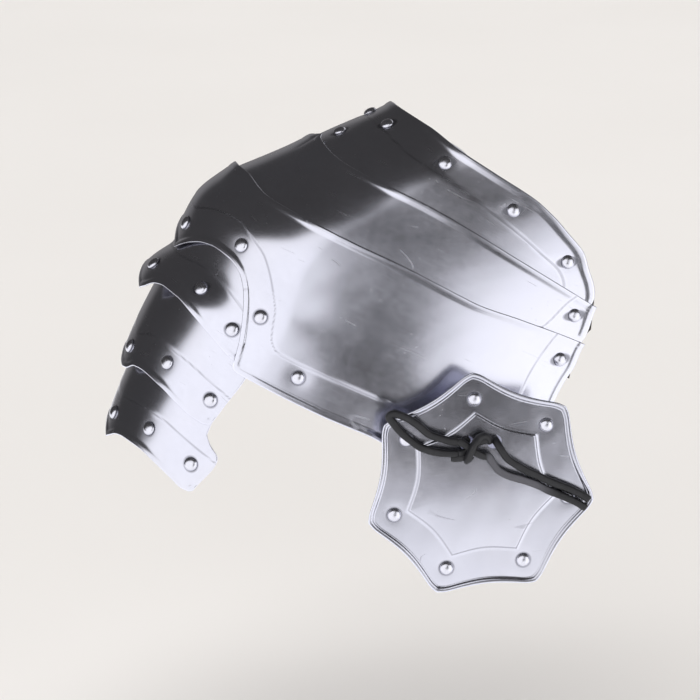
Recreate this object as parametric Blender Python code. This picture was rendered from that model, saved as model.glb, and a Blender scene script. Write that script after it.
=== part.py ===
"""A right shoulder defence of six overlapping steel lames with a hanging seven-sided besagew.

Metres, +Z up. The lames are shells wrapped round the shoulder and the upper arm. Each is drawn in
the shoulder's own frame: X runs from the crown line toward the chest, Y from front to back and Z
along the lames' axis, from the arm up to the neck. One empty then leans that frame over by the
slope of a worn shoulder. The origin is on the crown of the main plate, where the shoulder bears.
"""

import math

import bmesh
import bpy
import numpy as np
from mathutils import Matrix, Vector
from mathutils.bvhtree import BVHTree

# How the worn shoulder leans the lames' axis away from upright
SHOULDER_SLOPE = math.radians(30.0)

# Sheet, layers and the rolled borders
PLATE_THICKNESS = 0.0012
LAYER_GAP = 0.0007
OVERLAP = 0.0135
ROLL_WIDTH = 0.0045
ROLL_LIFT = 0.0011

# Cross-section of the shells: a round arch over the shoulder, then a flatter wing to the chest
ARCH_RADIUS = 0.089
ARCH_ANGLE = math.radians(74.0)
WING_RADIUS = 0.650

# Arc lengths from the crown to the front end of each lame
MAIN_REACH = 0.315
NECK_LOWER_REACH = 0.280
NECK_UPPER_REACH = 0.248
ARM_REACH = 0.106

# Heights along the lames' axis, above and below the bearing point on the crown
MAIN_RISE = 0.036
MAIN_SKIRT = 0.080
MAIN_DROP = 0.034
NECK_LOWER_SHOW = 0.046
NECK_UPPER_SHOW = 0.043
ARM_SHOW_1 = 0.036
ARM_SHOW_2 = 0.055
ARM_SHOW_3 = 0.050

# How far the crown line moves toward the neck opening, and out over the first arm lame
CROWN_FALL = 0.015
NECK_LOWER_FALL = 0.042
NECK_UPPER_FALL = 0.036
ARM_FLARE = 0.010
ARM_STEP_2 = 0.0045
ARM_STEP_3 = 0.0160

# Rivets
RIVET_HEAD_RADIUS = 0.0048
RIVET_HEAD_HEIGHT = 0.0031
RIVET_SHANK_RADIUS = 0.0020
RIVET_TAIL_RADIUS = 0.0033
RIVET_TAIL_HEIGHT = 0.0010
HOLE_CLEARANCE = 0.00035
SEAT_GAP = 0.0003
TAIL_GAP = 0.0007
RIVET_SHOULDER_OUT = 0.70
RIVET_SHOULDER_UP = 0.74
ROUND_SIDES = 8

# How a lame's tucked part sits inside its neighbour
NEST_SHIFT = 1.3
ARM_TUCK_EASE = 0.0015
NECK_LOWER_TUCK = (1.3, 0.6)
NECK_UPPER_TUCK = (1.9, 1.2, 0.5, -0.1)
NECK_UPPER_START = 0.05

# Widest mesh columns on the round arch and on the flatter wing, and row strips between the borders
ARCH_COLUMN = 0.0125
WING_COLUMN = 0.0300
MAIN_ROWS = 5
NECK_ROWS = 2
ARM_ROWS = 3
COLUMN_ROOM = 0.004

# Step for reading a face's direction, reach of a search for a face, and a cutter's extra length
FACE_STEP = 0.0005
PROBE_REACH = 0.015
PROBE_RINGS = (0.0, 0.4, 0.7, 1.0)
PROBE_TURNS = 16
CUTTER_ABOVE = 0.004
CUTTER_BELOW = 0.006

# Widest angle between faces that are shaded as one smooth surface
PLATE_SMOOTH = 35.0
BESAGEW_SMOOTH = 25.0
KNOT_SMOOTH = 60.0

# Inner leathers that carry the lames
LEATHER_WIDTH = 0.016
LEATHER_THICKNESS = 0.0020
LEATHER_GAP = 0.0008

# Besagew
BESAGEW_RADIUS = 0.0815
BESAGEW_SIDES = 7
BESAGEW_HOLLOW = 0.0045
BESAGEW_CORNER = 0.0020
BESAGEW_CORNER_SPREAD = math.radians(6.0)
BESAGEW_RIM = 0.0045
BESAGEW_RIM_LIFT = 0.0016
BESAGEW_PANEL_RADIUS = 0.0500
BESAGEW_PANEL_HOLLOW = 0.0030
BESAGEW_PANEL_STEP = 0.0009
BESAGEW_PANEL_FOOT = 1.045
BESAGEW_DOME = 0.0030
BESAGEW_RIVET_RADIUS = 0.0612
BESAGEW_TURN = math.radians(9.0)
BESAGEW_LEAN = math.radians(4.0)
BESAGEW_ROLL = math.radians(3.7)

# Where the besagew hangs: along and across the main plate's face, and how far off it
BESAGEW_ALONG = 0.2838
BESAGEW_HEIGHT = -0.0705
BESAGEW_STANDOFF = 0.0216

# Lace
LACE_RADIUS = 0.0026
LACE_HOLE_RADIUS = 0.0050
LACE_HOLE_RISE = 0.0315
LACE_HOLE_SPREAD = 0.0095
LACE_CLEARANCE = 0.0004
LACE_SPACING = 0.0075
LACE_KNOT_SIZE = (0.0170, 0.0200, 0.0090)
LACE_KNOT_EASE = 0.0030
LACE_KNOT_ROUNDS = 2

# The hidden stretch behind the plates: how far it sinks past them as a share of its radius, how
# much its middle bows, and where its straight part begins before and past the main plate
HANGER_SINK = 1.6
HANGER_BOW = 0.0006
HANGER_CORNER = 0.7
HANGER_FRONT = 0.006
HANGER_BEFORE = 0.004
HANGER_PAST = 0.002

# Crown line and arch radius of each shell along its axis. The first column is a share of the
# height that the shell has above or below the bearing point, the others of the fall and radius
MAIN_SECTIONS = [
    (-1.000, 0.03, 1.070), (-0.425, 0.03, 1.070), (-0.200, -0.07, 1.022), (0.000, -0.09, 1.000),
    (0.110, 0.02, 0.989), (0.250, 0.36, 0.972), (0.450, 1.00, 0.949), (0.750, 2.00, 0.921),
]

# Outlines: share of the reach, then share of the named height that the outline follows
MAIN_UPPER_EDGE = [
    (0.00, 1.00), (0.05, 1.01), (0.18, 0.87), (0.40, 0.92), (0.53, 0.97), (0.70, 0.98),
    (0.83, 1.11), (0.95, 1.22), (1.00, 1.25),
]
MAIN_LOWER_EDGE = [
    (0.000, 0.425), (0.035, 0.355), (0.073, 0.285), (0.115, 0.225), (0.155, 0.200),
    (0.197, 0.212), (0.235, 0.265), (0.258, 0.350), (0.276, 0.460), (0.295, 0.620),
    (0.309, 0.765), (0.317, 0.890), (0.323, 0.985), (0.337, 1.012), (0.420, 1.012),
    (0.540, 1.000), (0.670, 0.965), (1.000, 0.950),
]
MAIN_FRONT_END = [(-1.00, 1.000), (-0.21, 0.997), (0.30, 0.962), (0.56, 0.920), (0.80, 0.900)]


def share_line(table, where):
    """Value of a two-column table at a place along its first column, straight between rows."""
    return float(np.interp(where, [row[0] for row in table], [row[1] for row in table]))


def smooth_line(rows, where):
    """Value of hand-chosen (place, value) rows on a smooth curve with no overshoot."""
    places = [row[0] for row in rows]
    values = [row[1] for row in rows]
    if where <= places[0]:
        return values[0]
    if where >= places[-1]:
        return values[-1]
    slopes = [(values[i + 1] - values[i]) / (places[i + 1] - places[i]) for i in range(len(rows) - 1)]
    tangents = [slopes[0]]
    for before, after in zip(slopes, slopes[1:]):
        same_way = before * after > 0.0
        tangents.append(2.0 * before * after / (before + after) if same_way else 0.0)
    tangents.append(slopes[-1])
    i = max(k for k in range(len(rows) - 1) if places[k] <= where)
    span = places[i + 1] - places[i]
    x = (where - places[i]) / span
    rise = values[i + 1] - values[i]
    ease = x * x * (3.0 - 2.0 * x)
    lead = x * (1.0 - x) ** 2 * tangents[i] * span
    trail = x * x * (x - 1.0) * tangents[i + 1] * span
    return values[i] + rise * ease + lead + trail


class Shell:
    """The outer face of one lame: an arch and wing section that changes along the axis."""

    def __init__(self, crown_rows, radius_rows):
        self.crown_rows = crown_rows
        self.radius_rows = radius_rows

    def face(self, along, height):
        """Point of the outer face at an arc length from the crown (front positive)."""
        crown = smooth_line(self.crown_rows, height)
        radius = smooth_line(self.radius_rows, height)
        side = -1.0 if along >= 0.0 else 1.0
        run = abs(along)
        arch = radius * ARCH_ANGLE
        if run <= arch:
            turn = run / radius
            out = radius * (1.0 - math.cos(turn))
            deep = radius * math.sin(turn)
        else:
            turn = ARCH_ANGLE + (run - arch) / WING_RADIUS
            out = radius * (1.0 - math.cos(ARCH_ANGLE))
            out += WING_RADIUS * (math.cos(ARCH_ANGLE) - math.cos(turn))
            deep = radius * math.sin(ARCH_ANGLE)
            deep += WING_RADIUS * (math.sin(turn) - math.sin(ARCH_ANGLE))
        return Vector((crown + out, side * deep, height))

    def normal(self, along, height):
        """Outward direction of the face."""
        side = self.face(along + FACE_STEP, height) - self.face(along - FACE_STEP, height)
        rise = self.face(along, height + FACE_STEP) - self.face(along, height - FACE_STEP)
        return side.cross(rise).normalized()

    def point(self, along, height, lift=0.0):
        """Point lifted off the outer face, or sunk below it by a negative lift."""
        return self.face(along, height) + self.normal(along, height) * lift


def main_shell():
    """The main plate lies over all its neighbours."""
    crown = [(share * MAIN_SKIRT, fall * CROWN_FALL) for share, fall, _ in MAIN_SECTIONS]
    radius = [(share * MAIN_SKIRT, wide * ARCH_RADIUS) for share, _, wide in MAIN_SECTIONS]
    return Shell(crown, radius)


def nested(over, height, ease=0.0):
    """A section row, crown place and radius, that lies one layer inside the shell over it."""
    sink = PLATE_THICKNESS + LAYER_GAP
    crown = smooth_line(over.crown_rows, height) + NEST_SHIFT * sink
    radius = smooth_line(over.radius_rows, height) - sink - ease
    return (height, crown), (height, radius)


# Neck lames: share of the lame's own rise, then of its fall, then its arch against the main one
NECK_LOWER_SECTIONS = [
    (0.20, 0.24, 0.917), (0.48, 0.50, 0.900), (0.76, 0.75, 0.885), (1.02, 0.97, 0.871),
    (1.60, 1.45, 0.840),
]
NECK_UPPER_SECTIONS = [
    (0.28, 0.29, 0.836), (0.63, 0.64, 0.815), (0.98, 0.95, 0.798), (1.40, 1.30, 0.775),
]


def neck_lower_shell():
    """The lower neck lame starts under the main plate and falls in toward the neck."""
    rows = [nested(main_shell(), MAIN_RISE - tuck * OVERLAP) for tuck in NECK_LOWER_TUCK]
    for share, fall, wide in NECK_LOWER_SECTIONS:
        height = MAIN_RISE + share * NECK_LOWER_SHOW
        crown = CROWN_FALL + PLATE_THICKNESS + LAYER_GAP + fall * NECK_LOWER_FALL
        rows.append(((height, crown), (height, wide * ARCH_RADIUS)))
    return Shell([row[0] for row in rows], [row[1] for row in rows])


def neck_upper_shell(lower):
    """The upper neck lame starts under the lower one."""
    top = MAIN_RISE + NECK_LOWER_SHOW
    rows = [nested(lower, top - tuck * OVERLAP) for tuck in NECK_UPPER_TUCK]
    start = rows[-1][0][1] - NECK_UPPER_START * NECK_UPPER_FALL
    for share, fall, wide in NECK_UPPER_SECTIONS:
        height = top + share * NECK_UPPER_SHOW
        rows.append(((height, start + fall * NECK_UPPER_FALL), (height, wide * ARCH_RADIUS)))
    return Shell([row[0] for row in rows], [row[1] for row in rows])


# Arm lames: share of the lame's shown height below its neighbour, crown place as a share of its
# flare or step, and arch radius as a share of the main arch
ARM_SECTIONS_1 = [
    (1.06, -0.70, 0.939), (0.89, -0.92, 0.939), (0.67, -1.00, 0.939), (0.39, -0.65, 0.944),
    (0.19, -0.28, 0.950),
]
ARM_SECTIONS_2 = [
    (1.25, 2.40, 0.944), (0.87, 1.55, 0.944), (0.45, 1.05, 0.949), (0.04, 0.90, 0.955),
    (-0.60, 0.90, 0.955),
]
ARM_SECTIONS_3 = [
    (1.10, 1.45, 0.960), (0.76, 1.24, 0.960), (0.46, 1.09, 0.960), (0.16, 1.00, 0.960),
    (-0.50, 0.88, 0.960),
]


def arm_shell_1():
    """The first arm lame starts under the main plate and flares over the second."""
    rows = []
    for share, flare, wide in ARM_SECTIONS_1:
        height = -MAIN_DROP - share * ARM_SHOW_1
        rows.append(((height, flare * ARM_FLARE), (height, wide * ARCH_RADIUS)))
    for height in (-MAIN_DROP, 0.0):
        rows.append(nested(main_shell(), height, ARM_TUCK_EASE))
    return Shell([row[0] for row in rows], [row[1] for row in rows])


def arm_shell(base, show, step, sections):
    """A lower arm lame, below the given height."""
    rows = []
    for share, place, wide in sections:
        height = base - share * show
        rows.append(((height, place * step), (height, wide * ARCH_RADIUS)))
    return Shell([row[0] for row in rows], [row[1] for row in rows])


ARM_BASE_2 = -(MAIN_DROP + ARM_SHOW_1)
ARM_BASE_3 = ARM_BASE_2 - ARM_SHOW_2


class Lame:
    """One plate: a shell, its two edges, its end line and which borders are rolled."""

    def __init__(self, name, shell, reach, lower, upper, end, columns, strips, rolled, cover=None):
        self.name = name
        self.shell = shell
        self.reach = reach
        self.lower = lower
        self.upper = upper
        self.end = end
        self.columns = columns
        self.rolled = rolled
        self.cover = cover
        self.strips = strips

    def shares(self):
        """Column places from the crown to the front end, with one for the rolled border."""
        border = 1.0 - ROLL_WIDTH / self.reach
        inner = [share for share in self.columns if share < border - COLUMN_ROOM]
        return inner + [border, 1.0]

    def heights(self, share):
        """Row heights in one column, with a row for each rolled border."""
        low = self.lower(share)
        high = self.upper(share)
        low_band = low + ROLL_WIDTH
        high_band = high - ROLL_WIDTH
        between = [low_band + (high_band - low_band) * k / self.strips for k in range(self.strips + 1)]
        return [low] + between + [high]

    def bare(self, share, height):
        """How far out of its neighbour's cover a place is, from 0 to 1."""
        if self.cover is None:
            return 1.0
        way = 1.0 if "upper" in self.rolled else -1.0
        clear = way * (height - self.cover(share)) - ROLL_WIDTH * 0.5
        return min(1.0, max(0.0, clear / (ROLL_WIDTH * 0.5)))

    def grid(self, lift):
        """Rows of points over the whole lame, back end to front end."""
        shares = self.shares()
        signed = [-share for share in reversed(shares[1:])] + shares
        rows = []
        last = self.strips + 2
        for row in range(last + 1):
            line = []
            for share in signed:
                height = self.heights(abs(share))[row]
                along = share * self.reach * self.end(height)
                rise = lift
                on_edge = (row == 0 and "lower" in self.rolled) or (row == last and "upper" in self.rolled)
                if on_edge or (abs(share) == 1.0 and "end" in self.rolled):
                    rise += ROLL_LIFT * self.bare(abs(share), height)
                line.append(self.shell.point(along, height, rise))
            rows.append(line)
        return rows


def spread_columns(outline, reach):
    """Column shares: each corner of an outline, with the stretches between split evenly."""
    corners = sorted({share for share, _ in outline})
    columns = []
    for start, stop in zip(corners, corners[1:]):
        on_wing = start * reach > ARCH_RADIUS * ARCH_ANGLE
        widest = WING_COLUMN if on_wing else ARCH_COLUMN
        steps = max(1, round((stop - start) * reach / widest))
        columns += [start + (stop - start) * k / steps for k in range(steps)]
    return columns + [corners[-1]]


def main_upper(share):
    """Upper edge of the main plate."""
    return MAIN_RISE * share_line(MAIN_UPPER_EDGE, share)


def main_lower(share):
    """Lower edge of the main plate, with the cut-out over the arm."""
    return -MAIN_SKIRT * share_line(MAIN_LOWER_EDGE, share)


def main_end(height):
    """Front end of the main plate, which runs in toward the neck."""
    return share_line(MAIN_FRONT_END, height / MAIN_SKIRT)


NECK_LOWER_EDGE = [(0.00, 1.00), (0.03, 0.94), (0.20, 0.85), (0.46, 0.91), (0.74, 0.84), (1.00, 0.76)]
NECK_UPPER_EDGE = [
    (0.00, 1.00), (0.18, 0.98), (0.31, 0.89), (0.43, 0.84), (0.56, 0.79), (0.65, 0.69),
    (0.73, 0.56), (0.81, 0.42), (0.88, 0.21), (0.94, 0.03), (0.98, -0.13), (1.00, -0.26),
]
ARM_EDGE_1 = [
    (0.00, 1.00), (0.09, 0.89), (0.21, 0.70), (0.31, 0.64), (0.46, 0.66), (0.61, 0.78),
    (0.76, 0.95), (0.90, 1.13), (1.00, 1.20),
]
ARM_TUCK_1 = [(0.00, 0.56), (0.35, 0.21), (0.65, 0.22), (0.80, 0.36), (1.00, 0.60)]
ARM_EDGE_2 = [
    (0.00, 1.00), (0.09, 0.97), (0.20, 0.87), (0.33, 0.84), (0.54, 0.87), (0.70, 0.93),
    (0.86, 0.98), (0.94, 0.985), (0.98, 0.965), (1.00, 0.93),
]
ARM_TUCK_2 = [
    (0.00, 0.96), (0.24, 1.46), (0.50, 1.50), (0.62, 1.15), (0.77, 0.55), (0.90, 0.32),
    (1.00, 0.25),
]
ARM_EDGE_3 = [
    (0.00, 1.00), (0.08, 0.93), (0.17, 0.85), (0.29, 0.80), (0.49, 0.78), (0.66, 0.82),
    (0.82, 0.88), (0.92, 0.92), (0.97, 0.91), (1.00, 0.87),
]
ARM_TUCK_3 = [(0.00, 0.78), (0.24, 1.20), (0.48, 1.44), (0.70, 1.20), (0.88, 0.96), (1.00, 0.92)]
NECK_LOWER_END = [(-0.20, 1.036), (0.20, 1.000), (0.76, 0.912), (1.00, 0.880)]
ARM_END_1 = [(-1.20, 1.066), (-0.64, 1.000), (-0.17, 0.910), (0.39, 0.811)]
ARM_END_2 = [(-1.00, 0.915), (-0.66, 0.962), (-0.22, 1.009), (0.20, 1.019)]
ARM_END_3 = [
    (-0.95, 0.900), (-0.85, 0.915), (-0.36, 0.995), (-0.29, 0.985), (-0.20, 0.915),
    (-0.07, 0.862), (0.20, 0.858),
]


def main_plate():
    """The large plate over the point of the shoulder."""
    columns = spread_columns(MAIN_LOWER_EDGE, MAIN_REACH)
    rolled = ("lower", "upper", "end")
    shell = main_shell()
    return Lame(
        "main_plate", shell, MAIN_REACH, main_lower, main_upper, main_end, columns, MAIN_ROWS, rolled,
    )


def neck_lames():
    """The two lames that close up to the neck."""
    base = MAIN_RISE + NECK_LOWER_SHOW

    def lower_top(share):
        return MAIN_RISE + NECK_LOWER_SHOW * share_line(NECK_LOWER_EDGE, share)

    def lower_end(height):
        return share_line(NECK_LOWER_END, (height - MAIN_RISE) / NECK_LOWER_SHOW)

    def upper_top(share):
        return base + NECK_UPPER_SHOW * share_line(NECK_UPPER_EDGE, share)

    first = neck_lower_shell()
    lower = Lame(
        "neck_lame_lower", first, NECK_LOWER_REACH, lambda share: main_upper(share) - OVERLAP,
        lower_top, lower_end, spread_columns(NECK_LOWER_EDGE, NECK_LOWER_REACH), NECK_ROWS,
        ("upper", "end"), main_upper,
    )
    upper = Lame(
        "neck_lame_upper", neck_upper_shell(first), NECK_UPPER_REACH,
        lambda share: lower_top(share) - OVERLAP, upper_top, lambda height: 1.0,
        spread_columns(NECK_UPPER_EDGE, NECK_UPPER_REACH), NECK_ROWS, ("upper", "end"), lower_top,
    )
    return lower, upper


def arm_lames():
    """The three lames over the upper arm, each tucked under the one above."""
    shells = [
        arm_shell_1(),
        arm_shell(ARM_BASE_2, ARM_SHOW_2, ARM_STEP_2, ARM_SECTIONS_2),
        arm_shell(ARM_BASE_3, ARM_SHOW_3, ARM_STEP_3, ARM_SECTIONS_3),
    ]
    bases = [-MAIN_DROP, ARM_BASE_2, ARM_BASE_3]
    shows = [ARM_SHOW_1, ARM_SHOW_2, ARM_SHOW_3]
    edges = [ARM_EDGE_1, ARM_EDGE_2, ARM_EDGE_3]
    tucks = [ARM_TUCK_1, ARM_TUCK_2, ARM_TUCK_3]
    ends = [ARM_END_1, ARM_END_2, ARM_END_3]
    lames = []
    for k in range(3):

        def low(share, k=k):
            return bases[k] - shows[k] * share_line(edges[k], share)

        def high(share, k=k):
            if k == 0:
                return -MAIN_DROP * share_line(tucks[k], share)
            return bases[k] + OVERLAP * share_line(tucks[k], share)

        def end(height, k=k):
            return share_line(ends[k], (height - bases[k]) / shows[k])

        def cover(share, k=k):
            return bases[k] - shows[k - 1] * (share_line(edges[k - 1], share) - 1.0)

        columns = spread_columns(edges[k], ARM_REACH)
        rolled = ("lower",) if k == 0 else ("lower", "end")
        over = None if k == 0 else cover
        name = f"arm_lame_{k + 1}"
        lame = Lame(name, shells[k], ARM_REACH, low, high, end, columns, ARM_ROWS, rolled, over)
        lames.append(lame)
    return lames


def grid_faces(rows, columns, offset, flip):
    """Quads of one face of a sheet."""
    faces = []
    for r in range(rows - 1):
        for c in range(columns - 1):
            a = offset + r * columns + c
            quad = (a, a + 1, a + 1 + columns, a + columns)
            faces.append(tuple(reversed(quad)) if flip else quad)
    return faces


def sheet_mesh(name, outer, inner):
    """A closed thin solid between two grids of points with the same shape."""
    rows = len(outer)
    columns = len(outer[0])
    points = [p for line in outer for p in line] + [p for line in inner for p in line]
    back = rows * columns
    faces = grid_faces(rows, columns, 0, False) + grid_faces(rows, columns, back, True)
    border = [c for c in range(columns)]
    border += [r * columns + columns - 1 for r in range(1, rows)]
    border += [(rows - 1) * columns + c for c in range(columns - 2, -1, -1)]
    border += [r * columns for r in range(rows - 2, 0, -1)]
    for a, b in zip(border, border[1:] + border[:1]):
        faces.append((b, a, a + back, b + back))
    mesh = bpy.data.meshes.new(name)
    mesh.from_pydata(points, [], faces)
    fix_outward(mesh)
    return mesh


def fix_outward(mesh):
    """Turns all faces of a closed mesh outward."""
    work = bmesh.new()
    work.from_mesh(mesh)
    bmesh.ops.recalc_face_normals(work, faces=work.faces)
    if work.calc_volume(signed=True) < 0.0:
        bmesh.ops.reverse_faces(work, faces=work.faces)
    work.to_mesh(mesh)
    work.free()


def material(name, colour, roughness, metallic):
    """A plain material with the part's colour."""
    made = bpy.data.materials.new(name)
    made.use_nodes = True
    shader = made.node_tree.nodes["Principled BSDF"]
    shader.inputs["Base Color"].default_value = (*colour, 1.0)
    shader.inputs["Roughness"].default_value = roughness
    shader.inputs["Metallic"].default_value = metallic
    return made


def add_object(name, mesh, parent, surface, angle=PLATE_SMOOTH):
    """Places a mesh under an empty, shaded smooth across its soft edges."""
    mesh.materials.append(surface)
    mesh.shade_smooth()
    mesh.set_sharp_from_angle(angle=math.radians(angle))
    made = bpy.data.objects.new(name, mesh)
    bpy.context.scene.collection.objects.link(made)
    made.parent = parent
    return made


def turned_mesh(name, profile, sides):
    """A solid turned about Z from (radius, height) rows, closed at both ends on the axis."""
    work = bmesh.new()
    top = work.verts.new((0.0, 0.0, profile[0][1]))
    rings = []
    for radius, height in profile[1:-1]:
        ring = []
        for k in range(sides):
            turn = 2.0 * math.pi * k / sides
            ring.append(work.verts.new((radius * math.cos(turn), radius * math.sin(turn), height)))
        rings.append(ring)
    bottom = work.verts.new((0.0, 0.0, profile[-1][1]))
    for k in range(sides):
        n = (k + 1) % sides
        work.faces.new((top, rings[0][k], rings[0][n]))
        for upper, lower in zip(rings, rings[1:]):
            work.faces.new((upper[k], lower[k], lower[n], upper[n]))
        work.faces.new((bottom, rings[-1][n], rings[-1][k]))
    mesh = bpy.data.meshes.new(name)
    work.to_mesh(mesh)
    work.free()
    return mesh


def rivet_mesh(name, grip):
    """A domed rivet whose head sits on the plate and whose tail is below the grip."""
    rim = SEAT_GAP
    tail = -(grip + TAIL_GAP)
    profile = [
        (0.0, rim + RIVET_HEAD_HEIGHT),
        (RIVET_HEAD_RADIUS * RIVET_SHOULDER_OUT, rim + RIVET_HEAD_HEIGHT * RIVET_SHOULDER_UP),
        (RIVET_HEAD_RADIUS, rim),
        (RIVET_SHANK_RADIUS, rim),
        (RIVET_SHANK_RADIUS, tail),
        (RIVET_TAIL_RADIUS, tail),
        (0.0, tail - RIVET_TAIL_HEIGHT),
    ]
    return turned_mesh(name, profile, ROUND_SIDES)


def seat_matrix(point, normal):
    """A frame at a point of a face with Z along its outward direction."""
    turn = Vector((0.0, 0.0, 1.0)).rotation_difference(normal).to_matrix().to_4x4()
    return Matrix.Translation(point) @ turn


def pin_cutter(name, seats, radius, parent):
    """One hidden mesh with a round bar through each seat, for a Boolean."""
    work = bmesh.new()
    for matrix, reach in seats:
        deep = reach + CUTTER_BELOW
        shift = Matrix.Translation((0.0, 0.0, (CUTTER_ABOVE - deep) / 2.0))
        bmesh.ops.create_cone(
            work, cap_ends=True, segments=ROUND_SIDES, radius1=radius, radius2=radius,
            depth=deep + CUTTER_ABOVE, matrix=matrix @ shift,
        )
    mesh = bpy.data.meshes.new(name)
    work.to_mesh(mesh)
    work.free()
    made = bpy.data.objects.new(name, mesh)
    bpy.context.scene.collection.objects.link(made)
    made.parent = parent
    made.hide_render = True
    made.display_type = "WIRE"
    return made


def cut(target, cutter):
    """Cuts a hidden mesh out of an object."""
    modifier = target.modifiers.new("holes", "BOOLEAN")
    modifier.operation = "DIFFERENCE"
    modifier.solver = "EXACT"
    modifier.object = cutter


# Rivets: share of the lame's reach along the arc, height as a share of the named size beside it
# in place_rivets, and whether an inner leather is caught by it
MAIN_RIVETS = [
    (0.000, -0.190, None), (0.209, -0.065, None), (0.324, -0.500, "arm"), (0.457, -0.800, None),
    (0.917, 0.350, "neck"),
]
NECK_LOWER_RIVETS = [(0.907, 0.500, "neck")]
NECK_UPPER_RIVETS = [
    (0.000, 0.190, None), (0.085, 0.680, None), (0.322, 0.610, None), (0.572, 0.470, None),
    (0.822, 0.160, "neck"),
]
ARM_RIVETS_1 = [(0.000, 0.450, None), (0.535, 0.280, None)]
ARM_RIVETS_2 = [(0.000, 0.720, None), (0.475, 0.565, None), (0.860, 0.675, "arm")]
ARM_RIVETS_3 = [(0.000, 0.640, None), (0.465, 0.460, None), (0.840, 0.560, "arm")]

# The first arm lame's last rivet stands just behind the flank of the main plate's cut-out
ARM_END_RIVET_RISE = 0.640
ARM_END_RIVET_BACK = 0.0003
CUTOUT_FLANK = [row for row in MAIN_LOWER_EDGE if 0.155 <= row[0] <= 0.337]

# Leathers: which lame's inner face the strip lies under, its height as a share of that lame's
# named size, its middle as a share of the arc out to the lame's last rivet, and its spread
ARM_LEATHER = [
    ("arm_1", 0.14, 1.044, 1.00), ("arm_1", -0.16, 1.061, 1.00), ("arm_1", -0.42, 1.028, 1.00),
    ("arm_2", 0.20, 1.041, 1.00), ("arm_2", -0.10, 1.029, 1.00), ("arm_2", -0.40, 1.012, 1.00),
    ("arm_2", -0.62, 1.000, 1.00), ("arm_3", 0.36, 1.018, 1.00), ("arm_3", 0.05, 1.012, 1.00),
    ("arm_3", -0.35, 1.006, 1.00), ("arm_3", -0.72, 1.000, 1.00),
]
NECK_LEATHER = [
    ("neck_1", -0.37, 1.169, 1.15), ("neck_1", -0.10, 1.119, 1.20), ("neck_1", 0.20, 1.058, 1.25),
    ("neck_2", -0.62, 1.271, 1.35), ("neck_2", -0.35, 1.198, 1.45), ("neck_2", -0.05, 1.113, 1.60),
    ("neck_2", 0.16, 1.028, 1.65), ("neck_2", 0.31, 0.961, 1.65),
]


def arm_end_rivet():
    """The first arm lame's last rivet, as a share of that lame's reach."""
    height = MAIN_DROP + ARM_END_RIVET_RISE * ARM_SHOW_1
    places = [row[0] for row in CUTOUT_FLANK]
    depths = [row[1] for row in CUTOUT_FLANK]
    flank = MAIN_REACH * float(np.interp(height / MAIN_SKIRT, depths, places))
    return (flank - ARM_END_RIVET_BACK) / ARM_REACH


def leather_grids(rows, shells, side):
    """Outer and inner points of a strip, lying below the plates that it carries."""
    outer = []
    inner = []
    for key, share, middle, spread in rows:
        shell, base, size, reach = shells[key]
        height = base + share * size
        half = LEATHER_WIDTH * spread / 2.0
        upper_line = []
        lower_line = []
        for k in range(3):
            along = side * (middle * reach + half * (k - 1.0))
            sink = PLATE_THICKNESS + LEATHER_GAP
            upper_line.append(shell.point(along, height, -sink))
            lower_line.append(shell.point(along, height, -sink - LEATHER_THICKNESS))
        outer.append(upper_line)
        inner.append(lower_line)
    return outer, inner


def face_tree(mesh):
    """A search tree over a mesh's faces, in its own frame."""
    points = [vertex.co.copy() for vertex in mesh.vertices]
    return BVHTree.FromPolygons(points, [tuple(face.vertices) for face in mesh.polygons])


def farthest_face(tree, point, normal, radius, way):
    """Greatest rise of a face along a direction, over a small disc round a point."""
    side = normal.orthogonal().normalized()
    across = normal.cross(side)
    best = None
    for reach in PROBE_RINGS:
        for k in range(PROBE_TURNS):
            turn = 2.0 * math.pi * k / PROBE_TURNS
            start = point + (side * math.cos(turn) + across * math.sin(turn)) * radius * reach
            hit = tree.ray_cast(start + normal * way * PROBE_REACH, -normal * way)[0]
            if hit is not None and (hit - point).length < PROBE_REACH:
                rise = (hit - point).dot(normal) * way
                best = rise if best is None else max(best, rise)
    return 0.0 if best is None else best


def rivet_seat(plate_tree, inner_tree, point, normal):
    """Where a rivet's head rests on the plate, and how deep its grip goes below that."""
    rise = farthest_face(plate_tree, point, normal, RIVET_HEAD_RADIUS, 1.0)
    seat = point + normal * rise
    depth = farthest_face(inner_tree, seat, normal, RIVET_TAIL_RADIUS, -1.0)
    return seat, depth


def besagew_outline(turn, radius, hollow, corner):
    """Radius of a hollow-sided polygon in a direction, with eased corners."""
    sector = 2.0 * math.pi / BESAGEW_SIDES
    from_vertex = (turn + sector / 2.0) % sector - sector / 2.0
    from_middle = sector / 2.0 - abs(from_vertex)
    flat = radius * math.cos(sector / 2.0) / math.cos(from_middle)
    across = math.sin(from_middle) / math.sin(sector / 2.0)
    sag = hollow * (1.0 - across * across)
    ease = corner * max(0.0, 1.0 - abs(from_vertex) / BESAGEW_CORNER_SPREAD) ** 2
    return flat - sag - ease


# Besagew: share of the panel's radius with the share of its dome there, and spokes of each sector
BESAGEW_RINGS = [(0.33, 0.88), (0.66, 0.50)]
BESAGEW_SPOKES = (-0.06, 0.0, 0.06, 0.24, 0.50, 0.76)


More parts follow.
